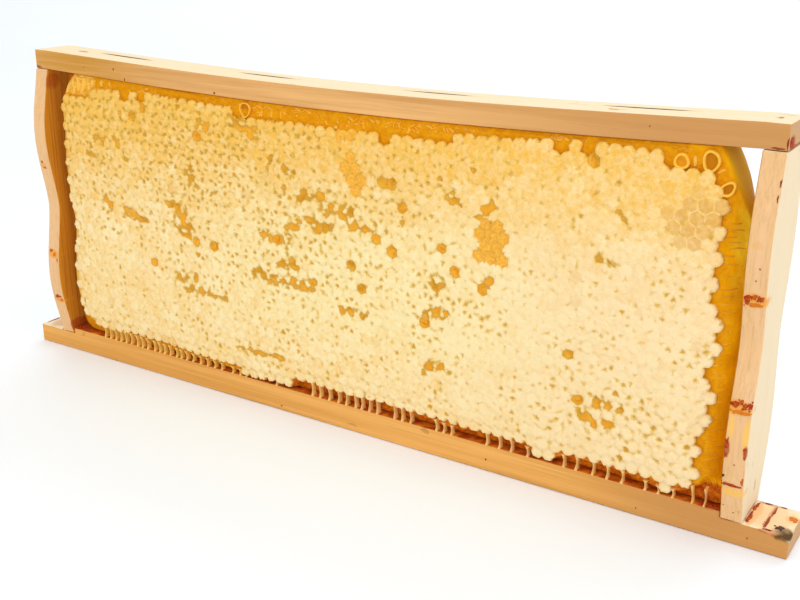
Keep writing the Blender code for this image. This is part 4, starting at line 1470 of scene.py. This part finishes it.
def softbox(name, place, aim, size, power, colour=(1, 1, 1)):
    light = bpy.data.lights.new(name, "AREA")
    light.shape = "RECTANGLE"
    light.size, light.size_y = size
    light.energy = power
    light.color = colour
    made = bpy.data.objects.new(name, light)
    made.location = place
    made.rotation_mode = "QUATERNION"
    made.rotation_quaternion = (Vector(aim) - Vector(place)).to_track_quat("-Z", "Y")
    bpy.context.scene.collection.objects.link(made)


def studio():
    scene = bpy.context.scene
    scene.view_settings.view_transform = "Standard"
    scene.view_settings.look = "None"
    world = bpy.data.worlds.new("white studio")
    scene.world = world
    world.use_nodes = True
    nodes, links = world.node_tree.nodes, world.node_tree.links
    sky = nodes["Background"]
    sky.inputs["Color"].default_value = (1, 1, 1, 1)
    sky.inputs["Strength"].default_value = 0.70
    shown = nodes.new("ShaderNodeBackground")
    shown.inputs["Color"].default_value = (1, 1, 1, 1)
    path = nodes.new("ShaderNodeLightPath")
    either = nodes.new("ShaderNodeMixShader")
    links.new(path.outputs["Is Camera Ray"], either.inputs[0])
    links.new(sky.outputs[0], either.inputs[1])
    links.new(shown.outputs[0], either.inputs[2])
    links.new(either.outputs[0], nodes["World Output"].inputs["Surface"])
    softbox("key", (0.75, -0.55, 1.3), (0, 0, 0.08), (1.6, 1.4), 9)
    softbox("front", (-0.1, -1.6, 0.7), (0, 0, 0.08), (1.6, 1.0), 4)
    softbox("overhead", (0, -0.3, 2.1), (0, -0.3, 0), (2.4, 2.0), 4.4, (0.90, 0.96, 1.0))
    softbox("backdrop", (-0.6, 2.6, 1.9), (-0.6, 2.3, 0), (5.0, 3.0), 40)
    mesh = bpy.data.meshes.new("floor")
    size = 3.0
    mesh.from_pydata([(-size, -size, 0), (size, -size, 0), (size, size, 0), (-size, size, 0)], [],
                     [(0, 1, 2, 3)])
    floor = bpy.data.objects.new("floor", mesh)
    floor.location.z = -0.0002
    look = Look("white_table", 0.7)
    cloudy = look.spread(look.noise(3, 2), 0.3, 0.7)
    look.colour(look.mix(cloudy, (0.90, 0.945, 0.99), (0.91, 0.955, 1.0)))
    mesh.materials.append(look.material)
    scene.collection.objects.link(floor)


def dress_frame():
    # Each bar: grain direction, light and dark grain colours, and the paler colour painted on its upward and sideways
    # faces as painted light.
    lit_face_colour, strip = (0.90, 0.74, 0.50), (0.83, 0.515, 0.265)
    wood_tones_and_lit_faces = {
        "lug_bar": ("x", (0.86, 0.44, 0.12), (0.73, 0.35, 0.083), lit_face_colour),
        "upper_bar": ("x", (0.84, 0.47, 0.18), (0.68, 0.35, 0.12), lit_face_colour),
        "side_bar_left": ("z", strip, (0.80, 0.48, 0.22), lit_face_colour),
        "side_bar_right": ("z", strip, (0.80, 0.48, 0.22), lit_face_colour),
    }
    for name, (along, light, dark, pale) in wood_tones_and_lit_faces.items():
        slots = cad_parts[name].material_slots
        for slot in slots:
            slot.material = wood(name, along, light, dark, pale)


def main():
    camera()
    studio()
    dress_frame()
    lattices = [Lattice(False), Lattice(True)]
    body = core().piece("comb_core", core_wax(), "comb", "zone")
    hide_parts("comb")
    waxy = cap_wax()
    for lattice, name in zip(lattices, ("caps_front", "caps_back")):
        close_sheet(caps(lattice).piece(name, waxy, "comb", "wax"), lattice.back)
    walls = Soup()
    for lattice in lattices:
        cell_walls(lattice, walls)
        foot_walls(walls, lattice.back)
        for side in (-1, 1):
            flank_walls(walls, side, lattice.back)
    corner_walls(walls)
    shreds(walls)
    rims(walls)
    crumbs(walls, lattices)
    walls.piece("cell_walls", wall_wax(), "comb", "wall", sharp=50)
    honey_pools(lattices).piece("open_honey", honey(), "honey", "tone", sharp=60)
    smudges().piece("propolis", propolis(), "propolis", "tone")


main()
